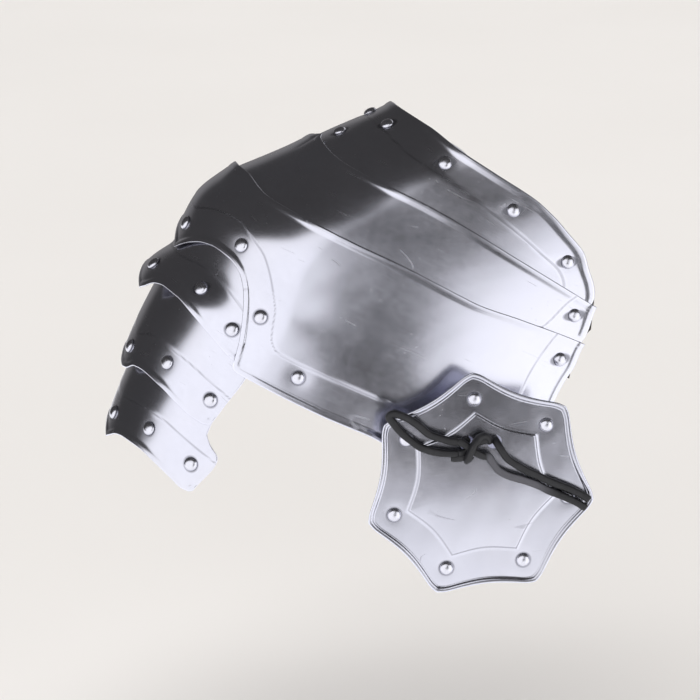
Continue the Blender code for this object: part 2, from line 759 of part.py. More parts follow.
def besagew_grids():
    """Rings of points over the front and the back of the besagew, from the middle out."""
    turns = []
    sector = 2.0 * math.pi / BESAGEW_SIDES
    for k in range(BESAGEW_SIDES):
        turns += [(k + spoke) * sector for spoke in BESAGEW_SPOKES]
    rings = []
    for share, dome in BESAGEW_RINGS:
        ring = []
        for turn in turns:
            edge = besagew_outline(turn, BESAGEW_PANEL_RADIUS, BESAGEW_PANEL_HOLLOW, 0.0)
            ring.append((turn, share * edge, BESAGEW_PANEL_STEP + dome * BESAGEW_DOME))
        rings.append(ring)
    for lift, share in ((BESAGEW_PANEL_STEP, 1.0), (0.0, BESAGEW_PANEL_FOOT)):
        ring = []
        for turn in turns:
            edge = besagew_outline(turn, BESAGEW_PANEL_RADIUS, BESAGEW_PANEL_HOLLOW, 0.0)
            ring.append((turn, share * edge, lift))
        rings.append(ring)
    for inset, lift in ((BESAGEW_RIM, 0.0), (0.0, BESAGEW_RIM_LIFT)):
        ring = []
        for turn in turns:
            edge = besagew_outline(turn, BESAGEW_RADIUS, BESAGEW_HOLLOW, BESAGEW_CORNER)
            ring.append((turn, edge - inset, lift))
        rings.append(ring)
    return rings


def besagew_mesh(name):
    """A closed sheet with a raised rim and a raised, gently domed middle panel."""
    work = bmesh.new()
    rings = besagew_grids()
    sheets = []
    for drop in (0.0, PLATE_THICKNESS):
        hub = work.verts.new((0.0, 0.0, BESAGEW_PANEL_STEP + BESAGEW_DOME - drop))
        loops = []
        for ring in rings:
            loop = []
            for turn, radius, lift in ring:
                across = -radius * math.sin(turn)
                loop.append(work.verts.new((across, radius * math.cos(turn), lift - drop)))
            loops.append(loop)
        sheets.append((hub, loops))
    count = len(rings[0])
    for (hub, loops), flip in zip(sheets, (False, True)):
        for k in range(count):
            n = (k + 1) % count
            faces = [(hub, loops[0][k], loops[0][n])]
            for inner, outer in zip(loops, loops[1:]):
                faces.append((inner[k], outer[k], outer[n], inner[n]))
            for face in faces:
                work.faces.new(tuple(reversed(face)) if flip else face)
    for k in range(count):
        n = (k + 1) % count
        front = sheets[0][1][-1]
        back = sheets[1][1][-1]
        work.faces.new((front[k], back[k], back[n], front[n]))
    mesh = bpy.data.meshes.new(name)
    work.to_mesh(mesh)
    work.free()
    fix_outward(mesh)
    return mesh


def smooth_route(points, spacing):
    """Points read from a smooth curve through a route's own points."""
    knots = [Vector(p) for p in points]
    ends = [knots[0] * 2.0 - knots[1]] + knots + [knots[-1] * 2.0 - knots[-2]]
    route = []
    for i in range(len(knots) - 1):
        a, b, c, d = ends[i:i + 4]
        steps = max(1, round((c - b).length / spacing))
        for k in range(steps):
            x = k / steps
            straight = b * 2.0 + (c - a) * x
            bend = (a * 2.0 - b * 5.0 + c * 4.0 - d) * x * x + (b * 3.0 - a - c * 3.0 + d) * x ** 3
            route.append((straight + bend) * 0.5)
    return route + [knots[-1]]


def lace_tube(name, points, parent, surface):
    """A round lace along a smooth route, with closed ends."""
    route = smooth_route(points, LACE_SPACING)
    curve = bpy.data.curves.new(name, "CURVE")
    curve.dimensions = "3D"
    curve.bevel_depth = LACE_RADIUS
    curve.bevel_resolution = 2
    curve.use_fill_caps = True
    spline = curve.splines.new("POLY")
    spline.points.add(len(route) - 1)
    for place, point in zip(spline.points, route):
        place.co = (*point, 1.0)
    curve.materials.append(surface)
    made = bpy.data.objects.new(name, curve)
    bpy.context.scene.collection.objects.link(made)
    made.parent = parent
    return made


# Routes of the lace in the besagew's own frame: right, up and out from its middle
LACE_LOOP = [
    (-0.0164, 0.0345, 0.0100), (-0.0200, 0.0345, 0.0100), (-0.0270, 0.0365, 0.0094),
    (-0.0360, 0.0400, 0.0088), (-0.0440, 0.0470, 0.0080), (-0.0520, 0.0520, 0.0072),
    (-0.0590, 0.0545, 0.0066), (-0.0625, 0.0525, 0.0062), (-0.0600, 0.0485, 0.0064),
    (-0.0550, 0.0420, 0.0068), (-0.0490, 0.0365, 0.0072), (-0.0420, 0.0312, 0.0080),
    (-0.0340, 0.0280, 0.0088), (-0.0270, 0.0268, 0.0096), (-0.0200, 0.0262, 0.0100),
    (-0.0164, 0.0262, 0.0100),
]
LACE_UPPER_END = [
    (0.0095, 0.0336, 0.0048), (0.0096, 0.0332, 0.0080), (0.0120, 0.0290, 0.0112),
    (0.0170, 0.0215, 0.0108), (0.0235, 0.0165, 0.0102), (0.0310, 0.0118, 0.0094),
    (0.0400, 0.0070, 0.0080), (0.0490, 0.0022, 0.0068), (0.0590, -0.0022, 0.0062),
    (0.0680, -0.0068, 0.0060), (0.0745, -0.0110, 0.0060),
]
LACE_LOWER_END = [
    (0.0014, 0.0232, 0.0100), (0.0042, 0.0232, 0.0102), (0.0076, 0.0180, 0.0106),
    (0.0110, 0.0135, 0.0104), (0.0180, 0.0092, 0.0098), (0.0270, 0.0060, 0.0090), (0.0370, 0.0018, 0.0078),
    (0.0460, -0.0032, 0.0068), (0.0560, -0.0076, 0.0068), (0.0650, -0.0122, 0.0066),
    (0.0720, -0.0168, 0.0058),
]
LACE_KNOT_PLACE = (-0.0075, 0.0300, 0.0100)


def lace_hanger_route(depth):
    """Back through one hole of both plates, along behind the main plate and out again."""
    rest = LACE_HOLE_RISE + LACE_HOLE_RADIUS - LACE_RADIUS - LACE_CLEARANCE
    under_knot = LACE_KNOT_PLACE[2] - LACE_KNOT_SIZE[2] / 2.0 - LACE_CLEARANCE
    front = LACE_UPPER_END[0][2] - LACE_CLEARANCE
    turn = -depth - PLATE_THICKNESS - LACE_CLEARANCE - LACE_RADIUS * HANGER_SINK
    left, right = -LACE_HOLE_SPREAD, LACE_HOLE_SPREAD
    return [
        (left, rest, under_knot), (left, rest, -HANGER_FRONT), (left, rest, HANGER_BEFORE - depth),
        (left, rest, -depth - HANGER_PAST), (left * HANGER_CORNER, rest, turn),
        (0.0, rest, turn - HANGER_BOW), (right * HANGER_CORNER, rest, turn),
        (right, rest, -depth - HANGER_PAST), (right, rest, HANGER_BEFORE - depth),
        (right, rest, -HANGER_FRONT), (right, rest, front),
    ]


def build_lace(hang, leather, depth):
    """The tied lace in front of the besagew and the stretch that holds it to the main plate."""
    lace_tube("lace_hanger", lace_hanger_route(depth), hang, leather)
    lace_tube("lace_loop", LACE_LOOP, hang, leather)
    lace_tube("lace_end_upper", LACE_UPPER_END, hang, leather)
    lace_tube("lace_end_lower", LACE_LOWER_END, hang, leather)
    mesh = bpy.data.meshes.new("lace_knot")
    work = bmesh.new()
    bmesh.ops.create_cube(work, size=1.0)
    bmesh.ops.scale(work, vec=LACE_KNOT_SIZE, verts=work.verts)
    bmesh.ops.bevel(
        work, geom=list(work.edges), offset=LACE_KNOT_EASE, segments=LACE_KNOT_ROUNDS, profile=0.5,
        affect="EDGES",
    )
    bmesh.ops.translate(work, vec=LACE_KNOT_PLACE, verts=work.verts)
    work.to_mesh(mesh)
    work.free()
    add_object("lace_knot", mesh, hang, leather, KNOT_SMOOTH)


def plate_depth(hang, slope, plate):
    """How far behind the besagew's own plane the main plate's face lies at the lace holes."""
    into = slope.matrix_world.inverted() @ hang.matrix_world
    start = into @ Vector((0.0, LACE_HOLE_RISE, 0.0))
    way = (into.to_3x3() @ Vector((0.0, 0.0, -1.0))).normalized()
    hit = face_tree(plate.data).ray_cast(start, way)[0]
    return (hit - start).length


def build_plates(slope, steel):
    """All the lames, with their shells kept for the rivets and the leathers."""
    lames = {"main": main_plate()}
    lames["neck_1"], lames["neck_2"] = neck_lames()
    for k, lame in enumerate(arm_lames()):
        lames[f"arm_{k + 1}"] = lame
    for lame in lames.values():
        mesh = sheet_mesh(lame.name, lame.grid(0.0), lame.grid(-PLATE_THICKNESS))
        add_object(lame.name, mesh, slope, steel)
    return lames


def build_leathers(lames, slope, leather):
    """The strips inside the front and back ends, which carry the lames."""
    sizes = {
        "neck_1": (MAIN_RISE, NECK_LOWER_SHOW), "neck_2": (MAIN_RISE + NECK_LOWER_SHOW, NECK_UPPER_SHOW),
        "arm_1": (-MAIN_DROP, ARM_SHOW_1), "arm_2": (ARM_BASE_2, ARM_SHOW_2),
        "arm_3": (ARM_BASE_3, ARM_SHOW_3),
    }
    last = {key: table[-1][0] * lames[key].reach for key, table, _, _ in rivet_rows()}
    shells = {key: (lames[key].shell, *size, last[key]) for key, size in sizes.items()}
    strips = {}
    for kind, rows in (("arm", ARM_LEATHER), ("neck", NECK_LEATHER)):
        for place, side in (("front", 1.0), ("back", -1.0)):
            outer, inner = leather_grids(rows, shells, side)
            mesh = sheet_mesh(f"{kind}_leather_{place}", outer, inner)
            made = add_object(f"{kind}_leather_{place}", mesh, slope, leather)
            strips[(kind, side)] = (made, face_tree(mesh))
    return strips


def rivet_rows():
    """Each lame's rivet table with the base and size that its heights follow."""
    top = MAIN_RISE + NECK_LOWER_SHOW
    arm_end = (arm_end_rivet(), ARM_END_RIVET_RISE, "arm")
    return [
        ("main", MAIN_RIVETS, 0.0, MAIN_SKIRT),
        ("neck_1", NECK_LOWER_RIVETS, MAIN_RISE, NECK_LOWER_SHOW),
        ("neck_2", NECK_UPPER_RIVETS, top, NECK_UPPER_SHOW),
        ("arm_1", ARM_RIVETS_1 + [arm_end], -MAIN_DROP, -ARM_SHOW_1),
        ("arm_2", ARM_RIVETS_2, ARM_BASE_2, -ARM_SHOW_2),
        ("arm_3", ARM_RIVETS_3, ARM_BASE_3, -ARM_SHOW_3),
    ]


def build_rivets(lames, strips, slope, steel):
    """Sets every lame's rivets, front and back alike, and drills what they pass through."""
    seats_by_strip = {key: [] for key in strips}
    for key, table, base, size in rivet_rows():
        lame = lames[key]
        plate_tree = face_tree(bpy.data.objects[lame.name].data)
        seats = []
        number = 0
        for share, rise, strip in table:
            for side in ((1.0,) if share == 0.0 else (1.0, -1.0)):
                along = side * share * lame.reach
                height = base + rise * size
                point = lame.shell.face(along, height)
                normal = lame.shell.normal(along, height)
                inner = plate_tree if strip is None else strips[(strip, side)][1]
                seat, grip = rivet_seat(plate_tree, inner, point, normal)
                matrix = seat_matrix(seat, normal)
                if strip is not None:
                    seats_by_strip[(strip, side)].append((matrix, grip))
                seats.append((matrix, grip))
                number += 1
                name = f"{lame.name}_rivet_{number}"
                made = add_object(name, rivet_mesh(name, grip), slope, steel)
                made.matrix_local = matrix
        drill(bpy.data.objects[lame.name], seats, slope)
    for key, seats in seats_by_strip.items():
        drill(strips[key][0], seats, slope)


def drill(target, seats, parent):
    """Drills a clearance hole at each rivet seat."""
    radius = RIVET_SHANK_RADIUS + HOLE_CLEARANCE
    cut(target, pin_cutter(f"{target.name}_holes", seats, radius, parent))


def build_besagew(main_shell_face, slope, steel, leather):
    """The seven-sided plate, its rivets and its lace, hung in front of the main plate."""
    seat = main_shell_face.point(BESAGEW_ALONG, BESAGEW_HEIGHT, BESAGEW_STANDOFF)
    centre = Matrix.Rotation(SHOULDER_SLOPE, 4, "Y") @ seat
    hang = bpy.data.objects.new("besagew_hang", None)
    bpy.context.scene.collection.objects.link(hang)
    upright = Matrix.Rotation(math.pi / 2.0, 4, "X")
    turn = Matrix.Rotation(-BESAGEW_TURN, 4, "Z")
    lean = Matrix.Rotation(-BESAGEW_LEAN, 4, "X")
    hang.matrix_world = Matrix.Translation(centre) @ turn @ lean @ upright
    plate = add_object("besagew", besagew_mesh("besagew"), hang, steel, BESAGEW_SMOOTH)
    plate.rotation_euler = (0.0, 0.0, BESAGEW_ROLL)
    seats = []
    for k in range(BESAGEW_SIDES):
        turn = 2.0 * math.pi * k / BESAGEW_SIDES + BESAGEW_ROLL
        place = (-BESAGEW_RIVET_RADIUS * math.sin(turn), BESAGEW_RIVET_RADIUS * math.cos(turn), 0.0)
        matrix = Matrix.Translation(place)
        seats.append((matrix, PLATE_THICKNESS))
        name = f"besagew_rivet_{k + 1}"
        made = add_object(name, rivet_mesh(name, PLATE_THICKNESS), hang, steel)
        made.matrix_local = matrix
    radius = RIVET_SHANK_RADIUS + HOLE_CLEARANCE
    cut(plate, pin_cutter("besagew_holes", seats, radius, hang))
    holes = []
    for side in (-1.0, 1.0):
        place = Matrix.Translation((side * LACE_HOLE_SPREAD, LACE_HOLE_RISE, 0.0))
        holes.append((place, PLATE_THICKNESS))
    cut(plate, pin_cutter("besagew_lace_holes", holes, LACE_HOLE_RADIUS, hang))
    bpy.context.view_layer.update()
    main_plate_object = bpy.data.objects["main_plate"]
    depth = plate_depth(hang, slope, main_plate_object)
    through = []
    rise = LACE_HOLE_RISE + 2.0 * (LACE_HOLE_RADIUS - LACE_RADIUS - LACE_CLEARANCE)
    for side in (-1.0, 1.0):
        place = Matrix.Translation((side * LACE_HOLE_SPREAD, rise, -depth))
        through.append((place, PLATE_THICKNESS))
    cut(main_plate_object, pin_cutter("main_plate_lace_holes", through, LACE_HOLE_RADIUS, hang))
    build_lace(hang, leather, depth)


def main():
    """Clears the scene and builds the whole part."""
    for old in list(bpy.data.objects):
        bpy.data.objects.remove(old, do_unlink=True)
    steel = material("steel", (0.55, 0.56, 0.62), 0.28, 1.0)
    leather = material("inner_leather", (0.12, 0.07, 0.04), 0.70, 0.0)
    lace = material("lace_leather", (0.015, 0.014, 0.016), 0.55, 0.0)
    slope = bpy.data.objects.new("shoulder_slope", None)
    bpy.context.scene.collection.objects.link(slope)
    slope.rotation_euler = (0.0, SHOULDER_SLOPE, 0.0)
    lames = build_plates(slope, steel)
    strips = build_leathers(lames, slope, leather)
    build_rivets(lames, strips, slope, steel)
    build_besagew(lames["main"].shell, slope, steel, lace)


main()
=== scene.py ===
"""Dresses a right-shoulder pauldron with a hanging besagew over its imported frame.

Metres, +Z up. The lames are drawn again as fine sheets on the same shells as the frame, with their
turned borders, pressed lines and dimples. Inside the shoulder's own frame X runs from the crown line
toward the chest, Y from front to back and Z along the lames' axis, from the arm up to the neck.
"""

from __future__ import annotations

import logging
import math
from dataclasses import dataclass, field
from enum import Enum

import bpy
import numpy as np
from mathutils import Matrix, Vector


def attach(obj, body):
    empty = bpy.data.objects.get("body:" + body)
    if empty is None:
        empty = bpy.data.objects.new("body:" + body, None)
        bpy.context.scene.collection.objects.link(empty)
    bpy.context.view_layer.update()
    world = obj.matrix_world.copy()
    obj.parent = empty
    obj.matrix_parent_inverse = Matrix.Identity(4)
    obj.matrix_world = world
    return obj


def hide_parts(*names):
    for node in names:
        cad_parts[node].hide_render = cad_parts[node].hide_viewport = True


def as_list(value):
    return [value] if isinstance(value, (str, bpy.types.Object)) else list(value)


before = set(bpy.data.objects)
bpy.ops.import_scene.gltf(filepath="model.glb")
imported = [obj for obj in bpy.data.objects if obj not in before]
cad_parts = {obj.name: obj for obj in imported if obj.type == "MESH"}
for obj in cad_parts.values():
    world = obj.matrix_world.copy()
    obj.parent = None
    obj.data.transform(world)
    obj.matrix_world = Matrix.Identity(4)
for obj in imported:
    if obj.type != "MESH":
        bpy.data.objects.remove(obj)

LOG = logging.getLogger("pauldron")
BODY = "root"
MM = 0.001

# How the worn shoulder leans the lames' axis, and the sheet that they are made of
SHOULDER_SLOPE = math.radians(30.0)
PLATE_THICKNESS = 0.0012
LAYER_GAP = 0.0007
OVERLAP = 0.0135
BORDER_WIDTH = 0.0045
BORDER_STEP = 0.0016

# Cross-section of the shells: a round arch over the shoulder, then a flatter wing
ARCH_RADIUS = 0.089
ARCH_ANGLE = math.radians(74.0)
WING_RADIUS = 0.650
WING_START = 0.100
WING_BLEND = 0.055

# Arc lengths from the crown to the front end of each lame
MAIN_REACH = 0.315
NECK_LOWER_REACH = 0.280
NECK_UPPER_REACH = 0.248
ARM_REACH = 0.106

# Heights along the lames' axis
MAIN_RISE = 0.036
MAIN_SKIRT = 0.080
MAIN_DROP = 0.034
NECK_LOWER_SHOW = 0.046
NECK_UPPER_SHOW = 0.043
ARM_SHOWS = (0.036, 0.055, 0.050)

# Crown falls toward the neck, and the flare and steps of the arm lames
CROWN_FALL = 0.015
NECK_LOWER_FALL = 0.042
NECK_UPPER_FALL = 0.036
ARM_STEPS = (0.010, 0.0045, 0.0160)
NEST_SHIFT = 1.3
ARM_TUCK_EASE = 0.0015

# How far a sheet's edge is rounded, and the angle past which an edge stays crisp
EDGE_ROUND = 0.00035
CREASE = math.radians(65.0)

# Fineness of the sheets, and of the borders that distances are read from
BORDER_POINTS = 220
END_POINTS = 40
COLUMN_STEP = 0.0015
ROW_STEP = 0.0018
EDGE_ROWS = (0.0, 0.0003, 0.0007, 0.0012, 0.0019, 0.0027, 0.0036, 0.0046, 0.0058)


class Link:
    """An output socket with arithmetic that adds Math nodes."""

    def __init__(self, shop: "Shop", socket: bpy.types.NodeSocket) -> None:
        """Wraps a socket."""
        self.shop = shop
        self.socket = socket

    def _math(self, operation: str, *others: object, first: bool = True) -> "Link":
        """Adds one Math node."""
        operands = [self, *others] if first else [*others, self]
        return self.shop.node("ShaderNodeMath", {"operation": operation}, dict(enumerate(operands)))

    def __add__(self, other: object) -> "Link":
        """Sum."""
        return self._math("ADD", other)

    __radd__ = __add__

    def __mul__(self, other: object) -> "Link":
        """Product."""
        return self._math("MULTIPLY", other)

    __rmul__ = __mul__

    def __sub__(self, other: object) -> "Link":
        """Difference."""
        return self._math("SUBTRACT", other)

    def __rsub__(self, other: object) -> "Link":
        """Difference from a number."""
        return self._math("SUBTRACT", other, first=False)

    def __truediv__(self, other: object) -> "Link":
        """Quotient."""
        return self._math("DIVIDE", other)

    def absolute(self) -> "Link":
        """Absolute value."""
        return self._math("ABSOLUTE")

    def most(self, other: object) -> "Link":
        """The larger of two values."""
        return self._math("MAXIMUM", other)

    def least(self, other: object) -> "Link":
        """The smaller of two values."""
        return self._math("MINIMUM", other)

    def step(self, start: float, stop: float, low: float = 0.0, high: float = 1.0) -> "Link":
        """A smooth rise from low at start to high at stop.

        Args:
            start: Where the rise starts.
            stop: Where it ends, which may lie below start.
            low: Value at start.
            high: Value at stop.

        Returns:
            The eased value.
        """
        if start > stop:
            start, stop, low, high = stop, start, high, low
        settings = {"interpolation_type": "SMOOTHSTEP"}
        return self.shop.node("ShaderNodeMapRange", settings, {0: self, 1: start, 2: stop, 3: low, 4: high})


class Shop:
    """Makes the nodes of one tree."""

    def __init__(self, tree: bpy.types.NodeTree) -> None:
        """Keeps the tree."""
        self.tree = tree

    def node(self, kind: str, settings: dict[str, object], sockets: dict, out: int | str = 0) -> Link:
        """Adds a node of any kind.

        Args:
            kind: The node's type.
            settings: Its properties.
            sockets: Values or links by socket name or number.
            out: The output to hand back.

        Returns:
            A link on that output.
        """
        made = self.tree.nodes.new(kind)
        for name, value in settings.items():
            setattr(made, name, value)
        for key, value in sockets.items():
            self.feed(made.inputs[key], value)
        return Link(self, made.outputs[out])

    def feed(self, socket: bpy.types.NodeSocket, value: object) -> None:
        """Links or sets one input.

        Args:
            socket: The input.
            value: A Link, a number, or a tuple.
        """
        if isinstance(value, Link):
            self.tree.links.new(value.socket, socket)
        elif isinstance(value, tuple) and len(value) == 3 and socket.type == "RGBA":
            socket.default_value = (*value, 1.0)
        else:
            socket.default_value = value

    def blend(self, share: Link, low: object, high: object) -> Link:
        """Mixes two colours."""
        settings = {"data_type": "RGBA", "blend_type": "MIX", "clamp_factor": True}
        return self.node("ShaderNodeMix", settings, {0: share, 6: low, 7: high}, 2)

    def place(self) -> Link:
        """Places in the piece's own object space, in metres."""
        return self.node("ShaderNodeTexCoord", {}, {}, "Object")

    def noise(
        self, place: Link, scale: float, detail: float = 3.0, rough: float = 0.5, warp: float = 0.0,
    ) -> Link:
        """A noise value round 0.5."""
        sockets = {"Vector": place, "Scale": scale, "Detail": detail, "Roughness": rough, "Distortion": warp}
        return self.node("ShaderNodeTexNoise", {}, sockets)

    def stretched(self, place: Link, scale: tuple[float, float, float], turn: float = 0.0) -> Link:
        """A place stretched along its axes after a turn in its own plane."""
        sockets = {"Vector": place, "Rotation": (0.0, 0.0, turn), "Scale": scale}
        return self.node("ShaderNodeMapping", {}, sockets)

    def relief(self, height: Link, strength: float, depth: float) -> Link:
        """The surface's direction over fine relief of a depth in metres."""
        return self.node("ShaderNodeBump", {}, {"Strength": strength, "Distance": depth, "Height": height})

    def reading(self, name: str) -> Link:
        """A number stored on the piece's points."""
        return self.node("ShaderNodeAttribute", {"attribute_name": name}, {}, "Fac")


@dataclass(frozen=True)
class SmoothLine:
    """A value on a smooth curve through given rows, with no overshoot."""

    rows: tuple[tuple[float, float], ...]

    def at(self, where: np.ndarray) -> np.ndarray:
        """Reads the curve.

        Args:
            where: Places along the rows' first column.

        Returns:
            The values there, held at both ends.
        """
        places = np.array([row[0] for row in self.rows])
        values = np.array([row[1] for row in self.rows])
        slopes = np.diff(values) / np.diff(places)
        turns = slopes[:-1] * slopes[1:]
        both = np.where(turns > 0.0, slopes[:-1] + slopes[1:], 1.0)
        inner = np.where(turns > 0.0, 2.0 * turns / both, 0.0)
        tangents = np.concatenate([slopes[:1], inner, slopes[-1:]])
        where = np.clip(where, places[0], places[-1])
        i = np.clip(np.searchsorted(places, where, side="right") - 1, 0, len(places) - 2)
        span = places[i + 1] - places[i]
        x = (where - places[i]) / span
        rise = (values[i + 1] - values[i]) * x * x * (3.0 - 2.0 * x)
        lead = x * (1.0 - x) ** 2 * tangents[i] * span
        return values[i] + rise + lead + x * x * (x - 1.0) * tangents[i + 1] * span


@dataclass(frozen=True)
class PlanishedLine(SmoothLine):
    """A smooth curve whose last bends are eased out, as planishing does."""

    ease: float = 0.0045
    broad_ease: float = 0.0140

    def at(self, where: np.ndarray) -> np.ndarray:
        """Reads the curve, averaged a little to both sides."""
        return self.averaged(where, self.ease)

    def averaged(self, where: np.ndarray, spread: float) -> np.ndarray:
        """Reads the curve, averaged to both sides.

        Args:
            where: Places along the rows' first column.
            spread: How far the average reaches.

        Returns:
            The eased values.
        """
        offsets = np.linspace(-2.0, 2.0, 9)
        weights = np.exp(-0.5 * offsets**2)
        weights = weights / weights.sum()
        line = super().at
        return sum(part * line(where + offset * spread) for part, offset in zip(weights, offsets))

    def over(self, where: np.ndarray, wing: np.ndarray) -> np.ndarray:
        """Reads the curve, eased further where the plate is a broad wing."""
        return self.at(where) * (1.0 - wing) + self.averaged(where, self.broad_ease) * wing


@dataclass(frozen=True)
class Outline:
    """An edge of a lame: a named size times a curve over the share of the reach."""

    base: float
    size: float
    line: SmoothLine

    def at(self, share: np.ndarray) -> np.ndarray:
        """Height of the edge at shares of the reach."""
        return self.base + self.size * self.line.at(share)


@dataclass(frozen=True)
class Tucked:
    """The hidden edge of a lame, an overlap behind its neighbour's edge."""

    over: Outline

    def at(self, share: np.ndarray) -> np.ndarray:
        """Height of the edge at shares of the reach."""
        return self.over.at(share) - OVERLAP


@dataclass(frozen=True)
class EndLine:
    """How a lame's front end runs in or out with height."""

    base: float
    size: float
    line: SmoothLine

    def at(self, height: np.ndarray) -> np.ndarray:
        """Share of the reach at which the end stands."""
        return self.line.at((height - self.base) / self.size)


@dataclass(frozen=True)
class Shell:
    """The outer face of one lame: an arch and a flatter wing that change along the axis."""

    crown: PlanishedLine
    radius: PlanishedLine

    def face(self, along: np.ndarray, height: np.ndarray) -> np.ndarray:
        """Points of the outer face in the shoulder's frame.

        Args:
            along: Arc lengths from the crown, front positive.
            height: Heights along the axis.

        Returns:
            The points, with the coordinates last.
        """
        run = np.abs(along)
        wing = eased((run - WING_START) / WING_BLEND)
        crown = self.crown.over(height, wing)
        radius = self.radius.over(height, wing)
        on_arch = np.minimum(run / radius, ARCH_ANGLE)
        on_wing = np.maximum(run - radius * ARCH_ANGLE, 0.0) / WING_RADIUS + ARCH_ANGLE
        out = crown + radius * (1.0 - np.cos(on_arch))
        out += WING_RADIUS * (math.cos(ARCH_ANGLE) - np.cos(on_wing))
        deep = radius * np.sin(on_arch) + WING_RADIUS * (np.sin(on_wing) - math.sin(ARCH_ANGLE))
        return np.stack([out, -np.sign(along) * deep, height], axis=-1)

    def normal(self, along: np.ndarray, height: np.ndarray) -> np.ndarray:
        """Outward directions of the face.

        Args:
            along: Arc lengths from the crown.
            height: Heights along the axis.

        Returns:
            Unit vectors, with the coordinates last.
        """
        near = 0.0005
        side = self.face(along + near, height) - self.face(along - near, height)
        rise = self.face(along, height + near) - self.face(along, height - near)
        out = np.cross(side, rise)
        return out / np.linalg.norm(out, axis=-1, keepdims=True)

    def nested(self, height: float, ease: float = 0.0) -> tuple[float, float, float]:
        """A section row one layer inside this shell: height, crown place and radius."""
        sink = PLATE_THICKNESS + LAYER_GAP
        where = np.array([height])
        crown = float(self.crown.at(where)[0]) + NEST_SHIFT * sink
        return height, crown, float(self.radius.at(where)[0]) - sink - ease

    @classmethod
    def from_rows(cls, rows: list[tuple[float, float, float]]) -> "Shell":
        """A shell through rows of height, crown place and radius."""
        crown = tuple((height, place) for height, place, _ in rows)
        radius = tuple((height, wide) for height, _, wide in rows)
        return cls(PlanishedLine(crown), PlanishedLine(radius))


def upright(points: np.ndarray) -> np.ndarray:
    """Turns points from the shoulder's frame into the worn position."""
    lean = np.array(Matrix.Rotation(SHOULDER_SLOPE, 3, "Y"))
    return points @ lean.T


def away_from(points: np.ndarray, path: np.ndarray) -> tuple[np.ndarray, np.ndarray]:
    """Distance of flat points from a path, and the side that they lie on.

    Args:
        points: Rows of two coordinates.
        path: Corners of the path, two coordinates each.

    Returns:
        The distances, and 1 on the left of the path or -1 on its right.
    """
    best = np.full(len(points), np.inf)
    side = np.ones(len(points))
    for start, stop in zip(path[:-1], path[1:]):
        way = stop - start
        length = max(float(way @ way), 1e-12)
        offset = points - start
        share = np.clip(offset @ way / length, 0.0, 1.0)
        gap = offset - share[:, None] * way
        distance = np.hypot(gap[:, 0], gap[:, 1])
        nearer = distance < best - 1e-9
        turn = way[0] * offset[:, 1] - way[1] * offset[:, 0]
        side[nearer] = np.sign(turn[nearer])
        best = np.minimum(best, distance)
    return best, side


def eased(value: np.ndarray) -> np.ndarray:
    """A smooth rise from 0 to 1, held outside it."""
    x = np.clip(value, 0.0, 1.0)
    return x * x * (3.0 - 2.0 * x)


def rounded_path(points: tuple[tuple[float, float], ...], step: float) -> np.ndarray:
    """A smooth curve through a path's own points.

    Args:
        points: Given points, of two or three coordinates.
        step: Distance between the points read from the curve.

    Returns:
        The points of the curve.
    """
    knots = np.array(points)
    ends = np.vstack([2.0 * knots[0] - knots[1], knots, 2.0 * knots[-1] - knots[-2]])
    route = []
    for a, b, c, d in zip(ends, ends[1:], ends[2:], ends[3:]):
        steps = max(2, round(float(np.linalg.norm(c - b)) / step))
        for k in range(steps):
            x = k / steps
            bend = (2.0 * a - 5.0 * b + 4.0 * c - d) * x * x + (3.0 * b - a - 3.0 * c + d) * x**3
            route.append((2.0 * b + (c - a) * x + bend) / 2.0)
    return np.array(route + [knots[-1]])


def mesh_from(
    name: str,
    points: np.ndarray,
    faces: list[tuple[int, ...]],
    readings: dict[str, np.ndarray],
    flat: np.ndarray | None,
) -> bpy.types.Object:
    """Makes an object with numbers stored on its points.

    Args:
        name: The object's name.
        points: Its points.
        faces: Its faces, as rows of point numbers.
        readings: Values for each point, by attribute name.
        flat: A flat place in metres for each point, kept as the UV map, or none.

    Returns:
        The linked object, shaded smooth.
    """
    mesh = bpy.data.meshes.new(name)
    mesh.from_pydata(points.tolist(), [], faces)
    for key, values in readings.items():
        stored = mesh.attributes.new(key, "FLOAT", "POINT")
        stored.data.foreach_set("value", np.asarray(values, dtype=np.float32))
    if flat is not None:
        corners = np.empty(len(mesh.loops), dtype=np.int32)
        mesh.loops.foreach_get("vertex_index", corners)
        layer = mesh.uv_layers.new(name="UVMap")
        layer.data.foreach_set("uv", np.asarray(flat[corners], dtype=np.float32).ravel())
    mesh.shade_smooth()
    made = bpy.data.objects.new(name, mesh)
    bpy.context.scene.collection.objects.link(made)
    return made


def grid_quads(
    rows: int, columns: int, start: int, turned: bool, closed: bool = False,
) -> list[tuple[int, ...]]:
    """Faces of a grid of points.

    Args:
        rows: Number of rows.
        columns: Number of columns.
        start: Number of the first point.
        turned: Whether the faces point the other way.
        closed: Whether the last column joins the first.

    Returns:
        The faces.
    """
    faces = []
    for row in range(rows - 1):
        for column in range(columns if closed else columns - 1):
            beside = (column + 1) % columns
            a = start + row * columns
            quad = (a + column, a + beside, a + columns + beside, a + columns + column)
            faces.append(quad[::-1] if turned else quad)
    return faces


def sheet_faces(rows: int, columns: int, turned: bool = False) -> list[tuple[int, ...]]:
    """Faces of a closed sheet: a grid, a second grid behind it and the rim that joins them.

    Args:
        rows: Number of rows.
        columns: Number of columns.
        turned: Whether the faces point the other way.

    Returns:
        The faces.
    """
    count = rows * columns
    faces = grid_quads(rows, columns, 0, turned) + grid_quads(rows, columns, count, not turned)
    ring = list(range(columns))
    ring += [row * columns + columns - 1 for row in range(1, rows)]
    ring += range(count - 2, count - columns - 1, -1)
    ring += [row * columns for row in range(rows - 2, 0, -1)]
    for here, there in zip(ring, ring[1:] + ring[:1]):
        start, stop = (there, here) if turned else (here, there)
        faces.append((stop, start, start + count, stop + count))
    return faces


